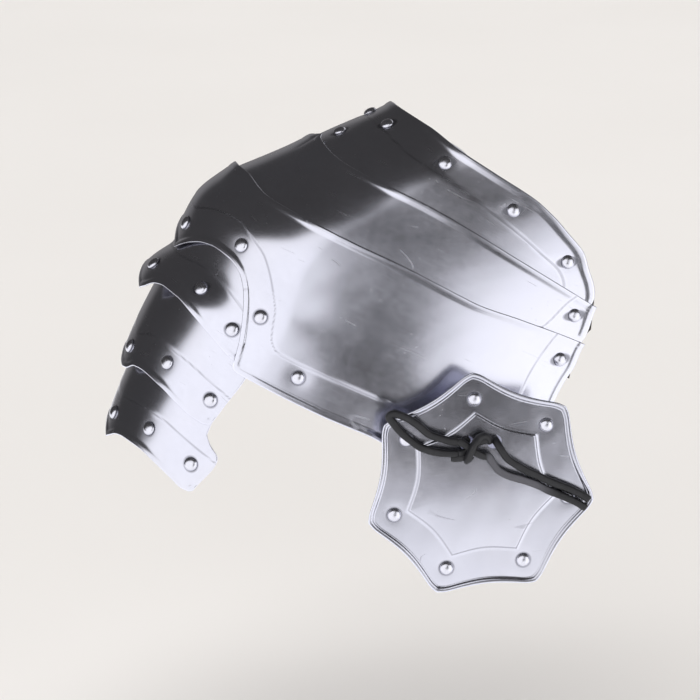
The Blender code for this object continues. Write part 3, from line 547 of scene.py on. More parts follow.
def moved(points: np.ndarray, place: Matrix) -> np.ndarray:
    """Moves points from a piece's own frame into the row's frame."""
    return points @ np.array(place.to_3x3()).T + np.array(place.translation)


class Border(Enum):
    """The three borders of a lame's half."""

    LOWER = "lower"
    UPPER = "upper"
    END = "end"


@dataclass(frozen=True)
class PressedLine:
    """A line pressed into a lame beside its border, with the strip past it sunk a little."""

    points: tuple[tuple[float, float], ...]  # millimetres along and across the lame
    sunk: float = 0.00035
    slope_width: float = 0.0016

    def path(self) -> np.ndarray:
        """The line in metres along and across the lame."""
        return rounded_path(tuple((s * MM, t * MM) for s, t in self.points), 0.004)


@dataclass
class Lame:
    """One plate of the shoulder: a fine sheet on its shell, with its rivets' dimples."""

    name: str
    shell: Shell
    reach: float
    lower: Outline | Tucked
    upper: Outline | Tucked
    end: EndLine | None
    turned: dict[Border, float]
    lines: tuple[PressedLine, ...]
    rivets: tuple[tuple[float, float], ...]
    cover: Outline | None = None
    flare: float = 0.0
    flare_reach: float = 0.024
    flare_width: float = 0.016
    dimple_depth: float = 0.00030
    dimple_width: float = 0.0080
    waves: tuple[tuple[float, float, float], ...] = (
        (31.0, 0.4, 1.0), (47.0, 1.3, 2.3), (22.0, 2.2, 4.1), (63.0, 0.9, 0.7), (17.0, 2.7, 5.2),
    )
    wave_height: float = 0.000022
    longest_wave: float = 63.0
    seed: float = 0.0

    def along(self, share: np.ndarray, height: np.ndarray) -> np.ndarray:
        """Arc length of places given as shares of the reach."""
        end = np.ones_like(height) if self.end is None else self.end.at(height)
        return share * self.reach * end

    def border(self, which: Border) -> np.ndarray:
        """One border of the front half.

        Args:
            which: The border.

        Returns:
            Its points, along and across the lame.
        """
        if which is Border.END:
            one = np.ones(1)
            height = np.linspace(float(self.lower.at(one)[0]), float(self.upper.at(one)[0]), END_POINTS)
            share = np.ones(END_POINTS)
        else:
            share = np.linspace(0.0, 1.0, BORDER_POINTS)
            height = (self.lower if which is Border.LOWER else self.upper).at(share)
        return np.stack([self.along(share, height), height], axis=-1)

    def bare(self, along: np.ndarray, height: np.ndarray) -> np.ndarray:
        """How far out of its neighbour's cover a place is, from 0 to 1."""
        if self.cover is None:
            return np.ones_like(height)
        way = 1.0 if Border.UPPER in self.turned else -1.0
        clear = way * (height - self.cover.at(np.abs(along) / self.reach)) - BORDER_WIDTH * 0.5
        return np.clip(clear / (BORDER_WIDTH * 0.5), 0.0, 1.0)

    def ripple(self, along: np.ndarray, height: np.ndarray) -> np.ndarray:
        """The faint unevenness that planishing leaves."""
        total = np.zeros_like(height)
        for length, turn, shift in self.waves:
            way = (along * math.cos(turn) + height * math.sin(turn)) / (length * MM)
            total += np.sin(2.0 * math.pi * way + shift + self.seed) * length / self.longest_wave
        return total * self.wave_height

    def readings(self, along: np.ndarray, height: np.ndarray) -> dict[str, np.ndarray]:
        """Distances that shape the sheet and guide its finish and its painted shade.

        Args:
            along: Arc lengths of flat places.
            height: Heights of flat places.

        Returns:
            Distances in metres by name, and the lift off the shell.
        """
        flat = np.stack([np.abs(along), height], axis=-1)
        edges = {which: away_from(flat, self.border(which))[0] for which in Border}
        lift = self.ripple(along, height)
        for which, rise in self.turned.items():
            shown = self.bare(along, height) if which is Border.END else 1.0
            raised = 1.0 - eased((edges[which] - BORDER_WIDTH + BORDER_STEP) / BORDER_STEP)
            slope = np.clip(1.0 - edges[which] / BORDER_WIDTH, 0.0, 1.0)
            lift += rise * shown * (0.75 * raised + 0.25 * slope)
        near_edge = 1.0 - eased(edges[Border.UPPER] / self.flare_width)
        lift += self.flare * np.exp(-((along / self.flare_reach) ** 2)) * near_edge
        line = np.full(len(along), 1.0)
        for pressed in self.lines:
            distance, side = away_from(flat, pressed.path())
            lift -= pressed.sunk * eased(0.5 - side * distance / pressed.slope_width)
            line = np.minimum(line, distance)
        ring = np.full(len(along), 1.0)
        for share, rise in self.rivets:
            ring = np.minimum(ring, np.hypot(flat[:, 0] - share * self.reach, height - rise))
        lift -= self.dimple_depth * np.exp(-((ring / self.dimple_width) ** 2))
        return {"edge": np.min(list(edges.values()), axis=0), "line": line, "rivet": ring, "lift": lift}

    def shares(self) -> np.ndarray:
        """Columns of the front half, closer together where an edge is steep."""
        share = np.linspace(0.0, 1.0, 4001)
        run = np.abs(np.diff(share)) * self.reach / COLUMN_STEP
        for edge in (self.lower, self.upper):
            run = np.maximum(run, np.abs(np.diff(edge.at(share))) / (1.3 * COLUMN_STEP))
        total = np.concatenate([[0.0], np.cumsum(run)])
        count = int(math.ceil(total[-1]))
        inner = np.interp(np.linspace(0.0, total[-1], count + 1), total, share)
        last = [1.0 - row / self.reach for row in EDGE_ROWS[::-1]]
        return np.concatenate([inner[inner < last[0] - 0.0005], last])

    def heights(self, share: np.ndarray) -> np.ndarray:
        """Rows of the sheet: close together at both edges and even between them.

        Args:
            share: Columns.

        Returns:
            Heights, a row for each step and a column for each share.
        """
        low, high = self.lower.at(share), self.upper.at(share)
        tall = high - low
        squeeze = np.minimum(1.0, 0.36 * tall / EDGE_ROWS[-1])
        bands = np.array(EDGE_ROWS)[:, None] * squeeze
        count = max(4, int(round(float(tall.max() - 2.0 * EDGE_ROWS[-1]) / ROW_STEP)))
        steps = np.linspace(0.0, 1.0, count + 1)[1:-1, None]
        start, stop = low + bands[-1], high - bands[-1]
        return np.concatenate([low + bands, start + (stop - start) * steps, (high - bands)[::-1]])

    def build(self) -> bpy.types.Object:
        """Makes the sheet.

        Returns:
            The finished plate.
        """
        half = self.shares()
        share = np.concatenate([-half[:0:-1], half])
        height = self.heights(np.abs(share))
        rows, columns = height.shape
        wide = np.broadcast_to(share, height.shape).ravel()
        height = height.ravel()
        along = self.along(wide, height)
        marks = self.readings(along, height)
        lift = marks.pop("lift")
        face, out = self.shell.face(along, height), self.shell.normal(along, height)
        soften = EDGE_ROUND * (1.0 - np.clip(marks["edge"] / 0.0007, 0.0, 1.0)) ** 2
        outer = face + out * (lift - soften)[:, None]
        inner = face + out * (lift + soften - PLATE_THICKNESS)[:, None]
        flat = np.stack([along, height], axis=-1)
        double = {key: np.tile(values, 2) for key, values in marks.items()}
        double["inside"] = np.repeat([0.0, 1.0], rows * columns)
        points = upright(np.vstack([outer, inner]))
        faces = sheet_faces(rows, columns)
        return mesh_from(f"{self.name}_blank", points, faces, double, np.tile(flat, (2, 1)))

    def rivet_seats(self) -> tuple[np.ndarray, np.ndarray]:
        """Where the rivets' heads rest.

        Returns:
            The places and the outward directions, front and back.
        """
        places = []
        for share, rise in self.rivets:
            sides = (0.0,) if share == 0.0 else (1.0, -1.0)
            places += [(side * share, rise) for side in sides]
        flat = np.array(places)
        height = flat[:, 1]
        along = flat[:, 0] * self.reach
        lift = self.readings(along, height)["lift"]
        out = self.shell.normal(along, height)
        return upright(self.shell.face(along, height) + out * lift[:, None]), upright(out)


def main_plate() -> Lame:
    """The large plate over the point of the shoulder.

    Returns:
        The lame, which lies over all its neighbours.
    """
    rows = (
        (-1, 0.03, 1.07), (-0.425, 0.03, 1.07), (-0.2, -0.07, 1.022), (0, -0.09, 1), (0.11, 0.02, 0.989),
        (0.25, 0.36, 0.972), (0.45, 1, 0.949), (0.75, 2, 0.921),
    )
    sections = [(up * MAIN_SKIRT, fall * CROWN_FALL, wide * ARCH_RADIUS) for up, fall, wide in rows]
    lower = SmoothLine((
        (0, 0.425), (0.035, 0.355), (0.073, 0.285), (0.115, 0.225), (0.155, 0.2), (0.197, 0.212),
        (0.235, 0.265), (0.258, 0.35), (0.276, 0.46), (0.295, 0.62), (0.309, 0.765), (0.317, 0.89),
        (0.323, 0.985), (0.337, 1.012), (0.42, 1.012), (0.54, 1), (0.67, 0.965), (1, 0.95),
    ))
    upper = SmoothLine((
        (0, 1), (0.05, 1.01), (0.18, 0.87), (0.4, 0.92), (0.53, 0.97), (0.7, 0.98), (0.83, 1.11),
        (0.95, 1.22), (1, 1.25),
    ))
    end = SmoothLine(((-1, 1), (-0.21, 0.997), (0.3, 0.962), (0.56, 0.92), (0.8, 0.9)))
    below = PressedLine((
        (-8, -2), (5, -2), (28, 5), (51, 8), (64, 5), (75, 1), (84, -3), (94, -12), (103, -23), (109, -32),
        (113, -43), (119, -53), (135, -56), (210, -51), (283, -48), (288, -38), (286, -3), (269, 42),
        (265, 52),
    ))
    rivets = ((0, -0.19), (0.209, -0.065), (0.324, -0.5), (0.457, -0.8), (0.917, 0.35))
    return Lame(
        name="main_plate",
        shell=Shell.from_rows(sections),
        reach=MAIN_REACH,
        lower=Outline(0.0, -MAIN_SKIRT, lower),
        upper=Outline(0.0, MAIN_RISE, upper),
        end=EndLine(0.0, MAIN_SKIRT, end),
        turned={Border.LOWER: 0.00085, Border.UPPER: 0.00045, Border.END: 0.00045},
        lines=(below,),
        flare=0.0024,
        rivets=tuple((share, rise * MAIN_SKIRT) for share, rise in rivets),
        seed=0.6,
    )


def neck_lame_lower(main: Lame) -> Lame:
    """The lower neck lame, which starts under the main plate and falls in toward the neck.

    Args:
        main: The main plate.

    Returns:
        The lame.
    """
    rows = [main.shell.nested(MAIN_RISE - tuck * OVERLAP) for tuck in (1.3, 0.6)]
    sections = (
        (0.2, 0.24, 0.917), (0.48, 0.5, 0.9), (0.76, 0.75, 0.885), (1.02, 0.97, 0.871), (1.6, 1.45, 0.84),
    )
    for share, fall, wide in sections:
        crown = CROWN_FALL + PLATE_THICKNESS + LAYER_GAP + fall * NECK_LOWER_FALL
        rows.append((MAIN_RISE + share * NECK_LOWER_SHOW, crown, wide * ARCH_RADIUS))
    edge = ((0, 1), (0.03, 0.94), (0.2, 0.85), (0.46, 0.91), (0.74, 0.84), (1, 0.76))
    end = ((-0.2, 1.036), (0.2, 1), (0.76, 0.912), (1, 0.88))
    beside_end = PressedLine(((252, 30), (250, 45), (240, 65), (236, 82)), 0.00030)
    return Lame(
        name="neck_lame_lower",
        shell=Shell.from_rows(rows),
        reach=NECK_LOWER_REACH,
        lower=Tucked(main.upper),
        upper=Outline(MAIN_RISE, NECK_LOWER_SHOW, SmoothLine(edge)),
        end=EndLine(MAIN_RISE, NECK_LOWER_SHOW, SmoothLine(end)),
        turned={Border.UPPER: 0.00045, Border.END: 0.00045},
        lines=(beside_end,),
        flare=0.0018,
        rivets=((0.907, MAIN_RISE + 0.500 * NECK_LOWER_SHOW),),
        cover=main.upper,
        seed=2.1,
    )


def neck_lame_upper(below: Lame) -> Lame:
    """The upper neck lame, which starts under the lower one and ends the row at the neck.

    Args:
        below: The lower neck lame.

    Returns:
        The lame.
    """
    top = MAIN_RISE + NECK_LOWER_SHOW
    rows = [below.shell.nested(top - tuck * OVERLAP) for tuck in (1.9, 1.2, 0.5, -0.1)]
    start = rows[-1][1] - 0.05 * NECK_UPPER_FALL
    sections = ((0.28, 0.29, 0.836), (0.63, 0.64, 0.815), (0.98, 0.95, 0.798), (1.4, 1.3, 0.775))
    for share, fall, wide in sections:
        rows.append((top + share * NECK_UPPER_SHOW, start + fall * NECK_UPPER_FALL, wide * ARCH_RADIUS))
    edge = (
        (0, 1), (0.18, 0.98), (0.31, 0.89), (0.43, 0.84), (0.56, 0.79), (0.65, 0.69), (0.73, 0.56),
        (0.81, 0.42), (0.88, 0.21), (0.94, 0.03), (0.98, -0.13), (1, -0.26),
    )
    under_edge = PressedLine((
        (234, 56), (228, 64), (222, 73), (207, 81), (188, 85), (168, 89), (141, 93), (95, 99), (63, 101),
        (30, 106), (7, 108), (-8, 108),
    ))
    rivets = ((0, 0.19), (0.085, 0.68), (0.322, 0.61), (0.572, 0.47), (0.822, 0.16))
    return Lame(
        name="neck_lame_upper",
        shell=Shell.from_rows(rows),
        reach=NECK_UPPER_REACH,
        lower=Tucked(below.upper),
        upper=Outline(top, NECK_UPPER_SHOW, SmoothLine(edge)),
        end=None,
        turned={Border.UPPER: 0.00055, Border.END: 0.00055},
        lines=(under_edge,),
        rivets=tuple((share, top + rise * NECK_UPPER_SHOW) for share, rise in rivets),
        cover=below.upper,
        seed=3.9,
    )


def arm_lame_1(main: Lame) -> Lame:
    """The first arm lame, which starts under the main plate and flares over the second.

    Args:
        main: The main plate.

    Returns:
        The lame.
    """
    show = ARM_SHOWS[0]
    sections = (
        (1.06, -0.7, 0.939), (0.89, -0.92, 0.939), (0.67, -1, 0.939), (0.39, -0.65, 0.944),
        (0.19, -0.28, 0.95),
    )
    rows = []
    for part, flare, wide in sections:
        rows.append((-MAIN_DROP - part * show, flare * ARM_STEPS[0], wide * ARCH_RADIUS))
    rows += [main.shell.nested(height, ARM_TUCK_EASE) for height in (-MAIN_DROP, 0.0)]
    edge = (
        (0, 1), (0.09, 0.89), (0.21, 0.7), (0.31, 0.64), (0.46, 0.66), (0.61, 0.78), (0.76, 0.95),
        (0.9, 1.13), (1, 1.2),
    )
    tuck = ((0, 0.56), (0.35, 0.21), (0.65, 0.22), (0.8, 0.36), (1, 0.6))
    end = ((-1.2, 1.066), (-0.64, 1), (-0.17, 0.91), (0.39, 0.811))
    line = ((-8, -35), (16, -35), (32, -33), (44, -32), (60, -34), (71, -36), (90, -42), (118, -53))
    rivets = ((0, 0.45), (0.535, 0.28), (0.9, 0.64))
    return Lame(
        name="arm_lame_1",
        shell=Shell.from_rows(rows),
        reach=ARM_REACH,
        lower=Outline(-MAIN_DROP, -show, SmoothLine(edge)),
        upper=Outline(0.0, -MAIN_DROP, SmoothLine(tuck)),
        end=EndLine(-MAIN_DROP, show, SmoothLine(end)),
        turned={Border.LOWER: 0.00060},
        lines=(PressedLine(line, 0.00030),),
        rivets=tuple((share, -MAIN_DROP - rise * show) for share, rise in rivets),
        seed=5.2,
    )


@dataclass(frozen=True)
class ArmTable:
    """Shares that set out one of the two lower arm lames."""

    name: str
    sections: tuple[tuple[float, float, float], ...]
    edge: tuple[tuple[float, float], ...]
    tuck: tuple[tuple[float, float], ...]
    end: tuple[tuple[float, float], ...]
    line: tuple[tuple[float, float], ...]
    rivets: tuple[tuple[float, float], ...]
    seed: float


ARM_TABLE_2 = ArmTable(
    name="arm_lame_2",
    sections=(
        (1.25, 2.4, 0.944), (0.87, 1.55, 0.944), (0.45, 1.05, 0.949), (0.04, 0.9, 0.955),
        (-0.6, 0.9, 0.955),
    ),
    edge=(
        (0, 1), (0.09, 0.97), (0.2, 0.87), (0.33, 0.84), (0.54, 0.87), (0.7, 0.93), (0.86, 0.98),
        (0.94, 0.985), (0.98, 0.965), (1, 0.93),
    ),
    tuck=(
        (0, 0.96), (0.24, 1.46), (0.5, 1.5), (0.62, 1.15), (0.77, 0.55), (0.9, 0.32), (1, 0.25),
    ),
    end=((-1, 0.915), (-0.66, 0.962), (-0.22, 1.009), (0.2, 1.019)),
    line=((-8, -99), (7, -98), (25, -92), (40, -91), (55, -92), (68, -93), (95, -98), (118, -103)),
    rivets=((0, 0.72), (0.475, 0.565), (0.86, 0.675)),
    seed=7.7,
)
ARM_TABLE_3 = ArmTable(
    name="arm_lame_3",
    sections=(
        (1.1, 1.45, 0.96), (0.76, 1.24, 0.96), (0.46, 1.09, 0.96), (0.16, 1, 0.96), (-0.5, 0.88, 0.96),
    ),
    edge=(
        (0, 1), (0.08, 0.93), (0.17, 0.85), (0.29, 0.8), (0.49, 0.78), (0.66, 0.82), (0.82, 0.88),
        (0.92, 0.92), (0.97, 0.91), (1, 0.87),
    ),
    tuck=((0, 0.78), (0.24, 1.2), (0.48, 1.44), (0.7, 1.2), (0.88, 0.96), (1, 0.92)),
    end=(
        (-0.95, 0.9), (-0.85, 0.915), (-0.36, 0.995), (-0.29, 0.985), (-0.2, 0.915), (-0.07, 0.862),
        (0.2, 0.858),
    ),
    line=(
        (-8, -143), (7, -143), (18, -141), (33, -139), (46, -138), (60, -137), (73, -139), (92, -142),
        (118, -146),
    ),
    rivets=((0, 0.64), (0.465, 0.46), (0.84, 0.56)),
    seed=9.4,
)


def lower_arm_lame(order: int, table: ArmTable, above: Lame) -> Lame:
    """One of the two lower arm lames.

    Args:
        order: 1 for the second lame or 2 for the third.
        table: The lame's own shares.
        above: The lame that covers its upper edge.

    Returns:
        The lame.
    """
    base = -(MAIN_DROP + sum(ARM_SHOWS[:order]))
    show = ARM_SHOWS[order]
    rows = []
    for part, place, wide in table.sections:
        rows.append((base - part * show, place * ARM_STEPS[order], wide * ARCH_RADIUS))
    return Lame(
        name=table.name,
        shell=Shell.from_rows(rows),
        reach=ARM_REACH,
        lower=Outline(base, -show, SmoothLine(table.edge)),
        upper=Outline(base, OVERLAP, SmoothLine(table.tuck)),
        end=EndLine(base, show, SmoothLine(table.end)),
        turned={Border.LOWER: 0.00060, Border.END: 0.00045},
        lines=(PressedLine(table.line, 0.00030),),
        rivets=tuple((share, base - rise * show) for share, rise in table.rivets),
        cover=above.lower,
        seed=table.seed,
    )


def shoulder_row() -> list[Lame]:
    """All six lames, from the main plate to the last one on the arm."""
    main = main_plate()
    lower_neck = neck_lame_lower(main)
    first_arm = arm_lame_1(main)
    second_arm = lower_arm_lame(1, ARM_TABLE_2, first_arm)
    third_arm = lower_arm_lame(2, ARM_TABLE_3, second_arm)
    return [main, lower_neck, neck_lame_upper(lower_neck), first_arm, second_arm, third_arm]


def revolved(name: str, profile: list[tuple[float, float]], sides: int) -> bpy.types.Object:
    """Turns a profile about its axis into a closed form.

    Args:
        name: The object's name.
        profile: Rows of radius and height, from the pole on top to the pole below.
        sides: Number of sides.

    Returns:
        The form.
    """
    angles = np.linspace(0.0, 2.0 * math.pi, sides, endpoint=False)
    points = [(0.0, 0.0, profile[0][1])]
    for radius, height in profile[1:-1]:
        points += [(radius * math.cos(a), radius * math.sin(a), height) for a in angles]
    points.append((0.0, 0.0, profile[-1][1]))
    rings = len(profile) - 2
    faces = grid_quads(rings, sides, 1, True, True)
    last = len(points) - 1
    for side in range(sides):
        beside = (side + 1) % sides
        faces.append((0, 1 + side, 1 + beside))
        faces.append((last, last - sides + beside, last - sides + side))
    ready = np.array(points)
    return mesh_from(name, ready, faces, {"rise": ready[:, 2]}, None)


@dataclass(frozen=True)
class RivetForm:
    """A domed rivet: its head, its shank and the flatter tail hammered over behind."""

    head_radius: float = 0.0048
    head_height: float = 0.0031
    shank_radius: float = 0.0020
    tail_radius: float = 0.0033
    tail_height: float = 0.0010
    sides: int = 36

    def dome(self, radius: float, height: float, rings: int) -> list[tuple[float, float]]:
        """Profile of a dome with a plump shoulder, from its top down to its foot."""
        turns = [0.5 * math.pi * k / rings for k in range(rings + 1)]
        return [(radius * math.sin(turn) ** 0.94, height * math.cos(turn) ** 0.90) for turn in turns]

    def head(self) -> bpy.types.Object:
        """The head, with a small undercut where it meets the plate."""
        profile = self.dome(self.head_radius, self.head_height, 12)
        profile += [(self.head_radius * 0.99, -0.00006), (self.head_radius * 0.93, -0.00012), (0.0, -0.00012)]
        return revolved("rivet_head", profile, self.sides)

    def shank(self) -> bpy.types.Object:
        """One millimetre of shank, below the seat."""
        radius = self.shank_radius
        profile = [(0.0, 0.0), (radius, 0.0), (radius, -0.5 * MM), (radius, -MM), (0.0, -MM)]
        return revolved("rivet_shank", profile, 16)

    def tail(self) -> bpy.types.Object:
        """The tail, which spreads behind the innermost layer."""
        profile = [(0.0, 0.00005), (self.tail_radius * 0.95, 0.00005)]
        for radius, height in self.dome(self.tail_radius, self.tail_height, 5)[::-1]:
            profile.append((radius, -height))
        return revolved("rivet_tail", profile, 20)


@dataclass
class RivetRow:
    """The rivets of one plate, set on their seats by Geometry Nodes."""

    name: str
    seats: np.ndarray
    axes: np.ndarray
    nodes: list[str]
    form: RivetForm = field(default_factory=RivetForm)
    size_spread: float = 0.015
    seed: int = 4

    def depths(self) -> list[float]:
        """Reads how far behind each seat the frame's own rivet reaches.

        Returns:
            Grip of each rivet, from the seat to its tail.
        """
        grips = []
        for seat, axis, name in zip(self.seats, self.axes, self.nodes):
            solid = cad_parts[name]
            points = [solid.matrix_world @ vertex.co for vertex in solid.data.vertices]
            reach = min(float(np.dot(np.array(point) - seat, axis)) for point in points)
            grips.append(max(PLATE_THICKNESS, -reach - self.form.tail_height))
        return grips

    def tree(self) -> bpy.types.NodeTree:
        """Builds the nodes that set a head, a shank and a tail on every seat.

        Returns:
            The node tree.
        """
        made = bpy.data.node_groups.new("rivet_setting", "GeometryNodeTree")
        kinds = {"Seats": "Geometry", "Head": "Object", "Shank": "Object", "Tail": "Object"}
        kinds |= {"Finish": "Material", "Size spread": "Float", "Seed": "Int"}
        for title, kind in kinds.items():
            made.interface.new_socket(title, in_out="INPUT", socket_type=f"NodeSocket{kind}")
        made.interface.new_socket("Rivets", in_out="OUTPUT", socket_type="NodeSocketGeometry")
        shop = Shop(made)
        given = made.nodes.new("NodeGroupInput")
        put = {socket.name: Link(shop, socket) for socket in given.outputs if socket.name}
        number, vector = {"data_type": "FLOAT"}, {"data_type": "FLOAT_VECTOR"}
        axis = shop.node("GeometryNodeInputNamedAttribute", vector, {"Name": "axis"}, "Attribute")
        depth = shop.node("GeometryNodeInputNamedAttribute", number, {"Name": "depth"}, "Attribute")
        upward = shop.node("FunctionNodeAlignRotationToVector", {"axis": "Z"}, {"Vector": axis})
        spin = shop.node("FunctionNodeRandomValue", number, {2: 0.0, 3: 6.28, "Seed": put["Seed"]}, 1)
        turn = shop.node("FunctionNodeAxisAngleToRotation", {}, {"Axis": (0.0, 0.0, 1.0), "Angle": spin})
        sockets = {"Rotation": upward, "Rotate By": turn}
        turned = shop.node("FunctionNodeRotateRotation", {"rotation_space": "LOCAL"}, sockets)
        spread = put["Size spread"]
        sizes = {2: 1.0 - spread, 3: 1.0 + spread, "Seed": put["Seed"] + 7}
        size = shop.node("FunctionNodeRandomValue", number, sizes, 1)
        long = shop.node("ShaderNodeCombineXYZ", {}, {0: 1.0, 1: 1.0, 2: depth / MM})
        back = shop.node("ShaderNodeVectorMath", {"operation": "SCALE"}, {0: axis, "Scale": 0.0 - depth})
        behind = shop.node("GeometryNodeSetPosition", {}, {"Geometry": put["Seats"], "Offset": back})
        whole = made.nodes.new("GeometryNodeJoinGeometry")
        parts = (("Head", put["Seats"], size), ("Shank", put["Seats"], long), ("Tail", behind, size))
        for title, points, scale in parts:
            form = shop.node("GeometryNodeObjectInfo", {}, {"Object": put[title]}, "Geometry")
            sockets = {"Points": points, "Instance": form, "Rotation": turned, "Scale": scale}
            shop.feed(whole.inputs[0], shop.node("GeometryNodeInstanceOnPoints", {}, sockets))
        real = shop.node("GeometryNodeRealizeInstances", {}, {"Geometry": Link(shop, whole.outputs[0])})
        dressed = shop.node("GeometryNodeSetMaterial", {}, {"Geometry": real, "Material": put["Finish"]})
        shop.feed(made.nodes.new("NodeGroupOutput").inputs[0], dressed)
        return made

    def build(self, finish: bpy.types.Material) -> bpy.types.Object:
        """Sets the rivets and turns them into one plain mesh.

        Args:
            finish: The rivets' steel.

        Returns:
            The piece.
        """
        forms = {"Head": self.form.head(), "Shank": self.form.shank(), "Tail": self.form.tail()}
        points = mesh_from(f"{self.name}_seats", self.seats, [], {"depth": np.array(self.depths())}, None)
        axis = points.data.attributes.new("axis", "FLOAT_VECTOR", "POINT")
        axis.data.foreach_set("vector", self.axes.astype(np.float32).ravel())
        tree = self.tree()
        setting = points.modifiers.new("rivets", "NODES")
        setting.node_group = tree
        values = {**forms, "Finish": finish, "Size spread": self.size_spread, "Seed": self.seed}
        for socket in tree.interface.items_tree:
            if socket.in_out == "INPUT" and socket.name in values:
                setting[socket.identifier] = values[socket.name]
        made = plain_mesh(points, self.name)
        for form in forms.values():
            bpy.data.objects.remove(form)
        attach(made, BODY)
        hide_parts(*self.nodes)
        return made


def plain_mesh(source: bpy.types.Object, name: str) -> bpy.types.Object:
    """Turns an object with modifiers into a plain one.

    Args:
        source: The object, which is removed.
        name: The name of the result.

    Returns:
        The plain object.
    """
    bpy.context.view_layer.update()
    ready = source.evaluated_get(bpy.context.evaluated_depsgraph_get())
    mesh = bpy.data.meshes.new_from_object(ready)
    mesh.name = name
    bpy.data.objects.remove(source)
    made = bpy.data.objects.new(name, mesh)
    bpy.context.scene.collection.objects.link(made)
    return made


def bored(target: bpy.types.Object, places: list[Matrix], radius: float) -> bpy.types.Object:
    """Bores round holes through a plate.

    Args:
        target: The plate, which is replaced.
        places: A matrix for each hole, with the hole's axis along Z.
        radius: The holes' radius.

    Returns:
        The plate with its holes.
    """
    name = target.name.replace("_blank", "_steel")
    reach = 6.0 * MM
    drills = []
    for number, place in enumerate(places):
        profile = [(0.0, reach), (radius, reach), (radius, -reach), (0.0, -reach)]
        drill = revolved(f"{name}_drill_{number}", profile, 36)
        drill.data.transform(place)
        cut = target.modifiers.new(f"hole_{number}", "BOOLEAN")
        cut.operation = "DIFFERENCE"
        cut.solver = "EXACT"
        cut.object = drill
        drills.append(drill)
    made = plain_mesh(target, name)
    for drill in drills:
        bpy.data.objects.remove(drill)
    made.data.set_sharp_from_angle(angle=CREASE)
    return made


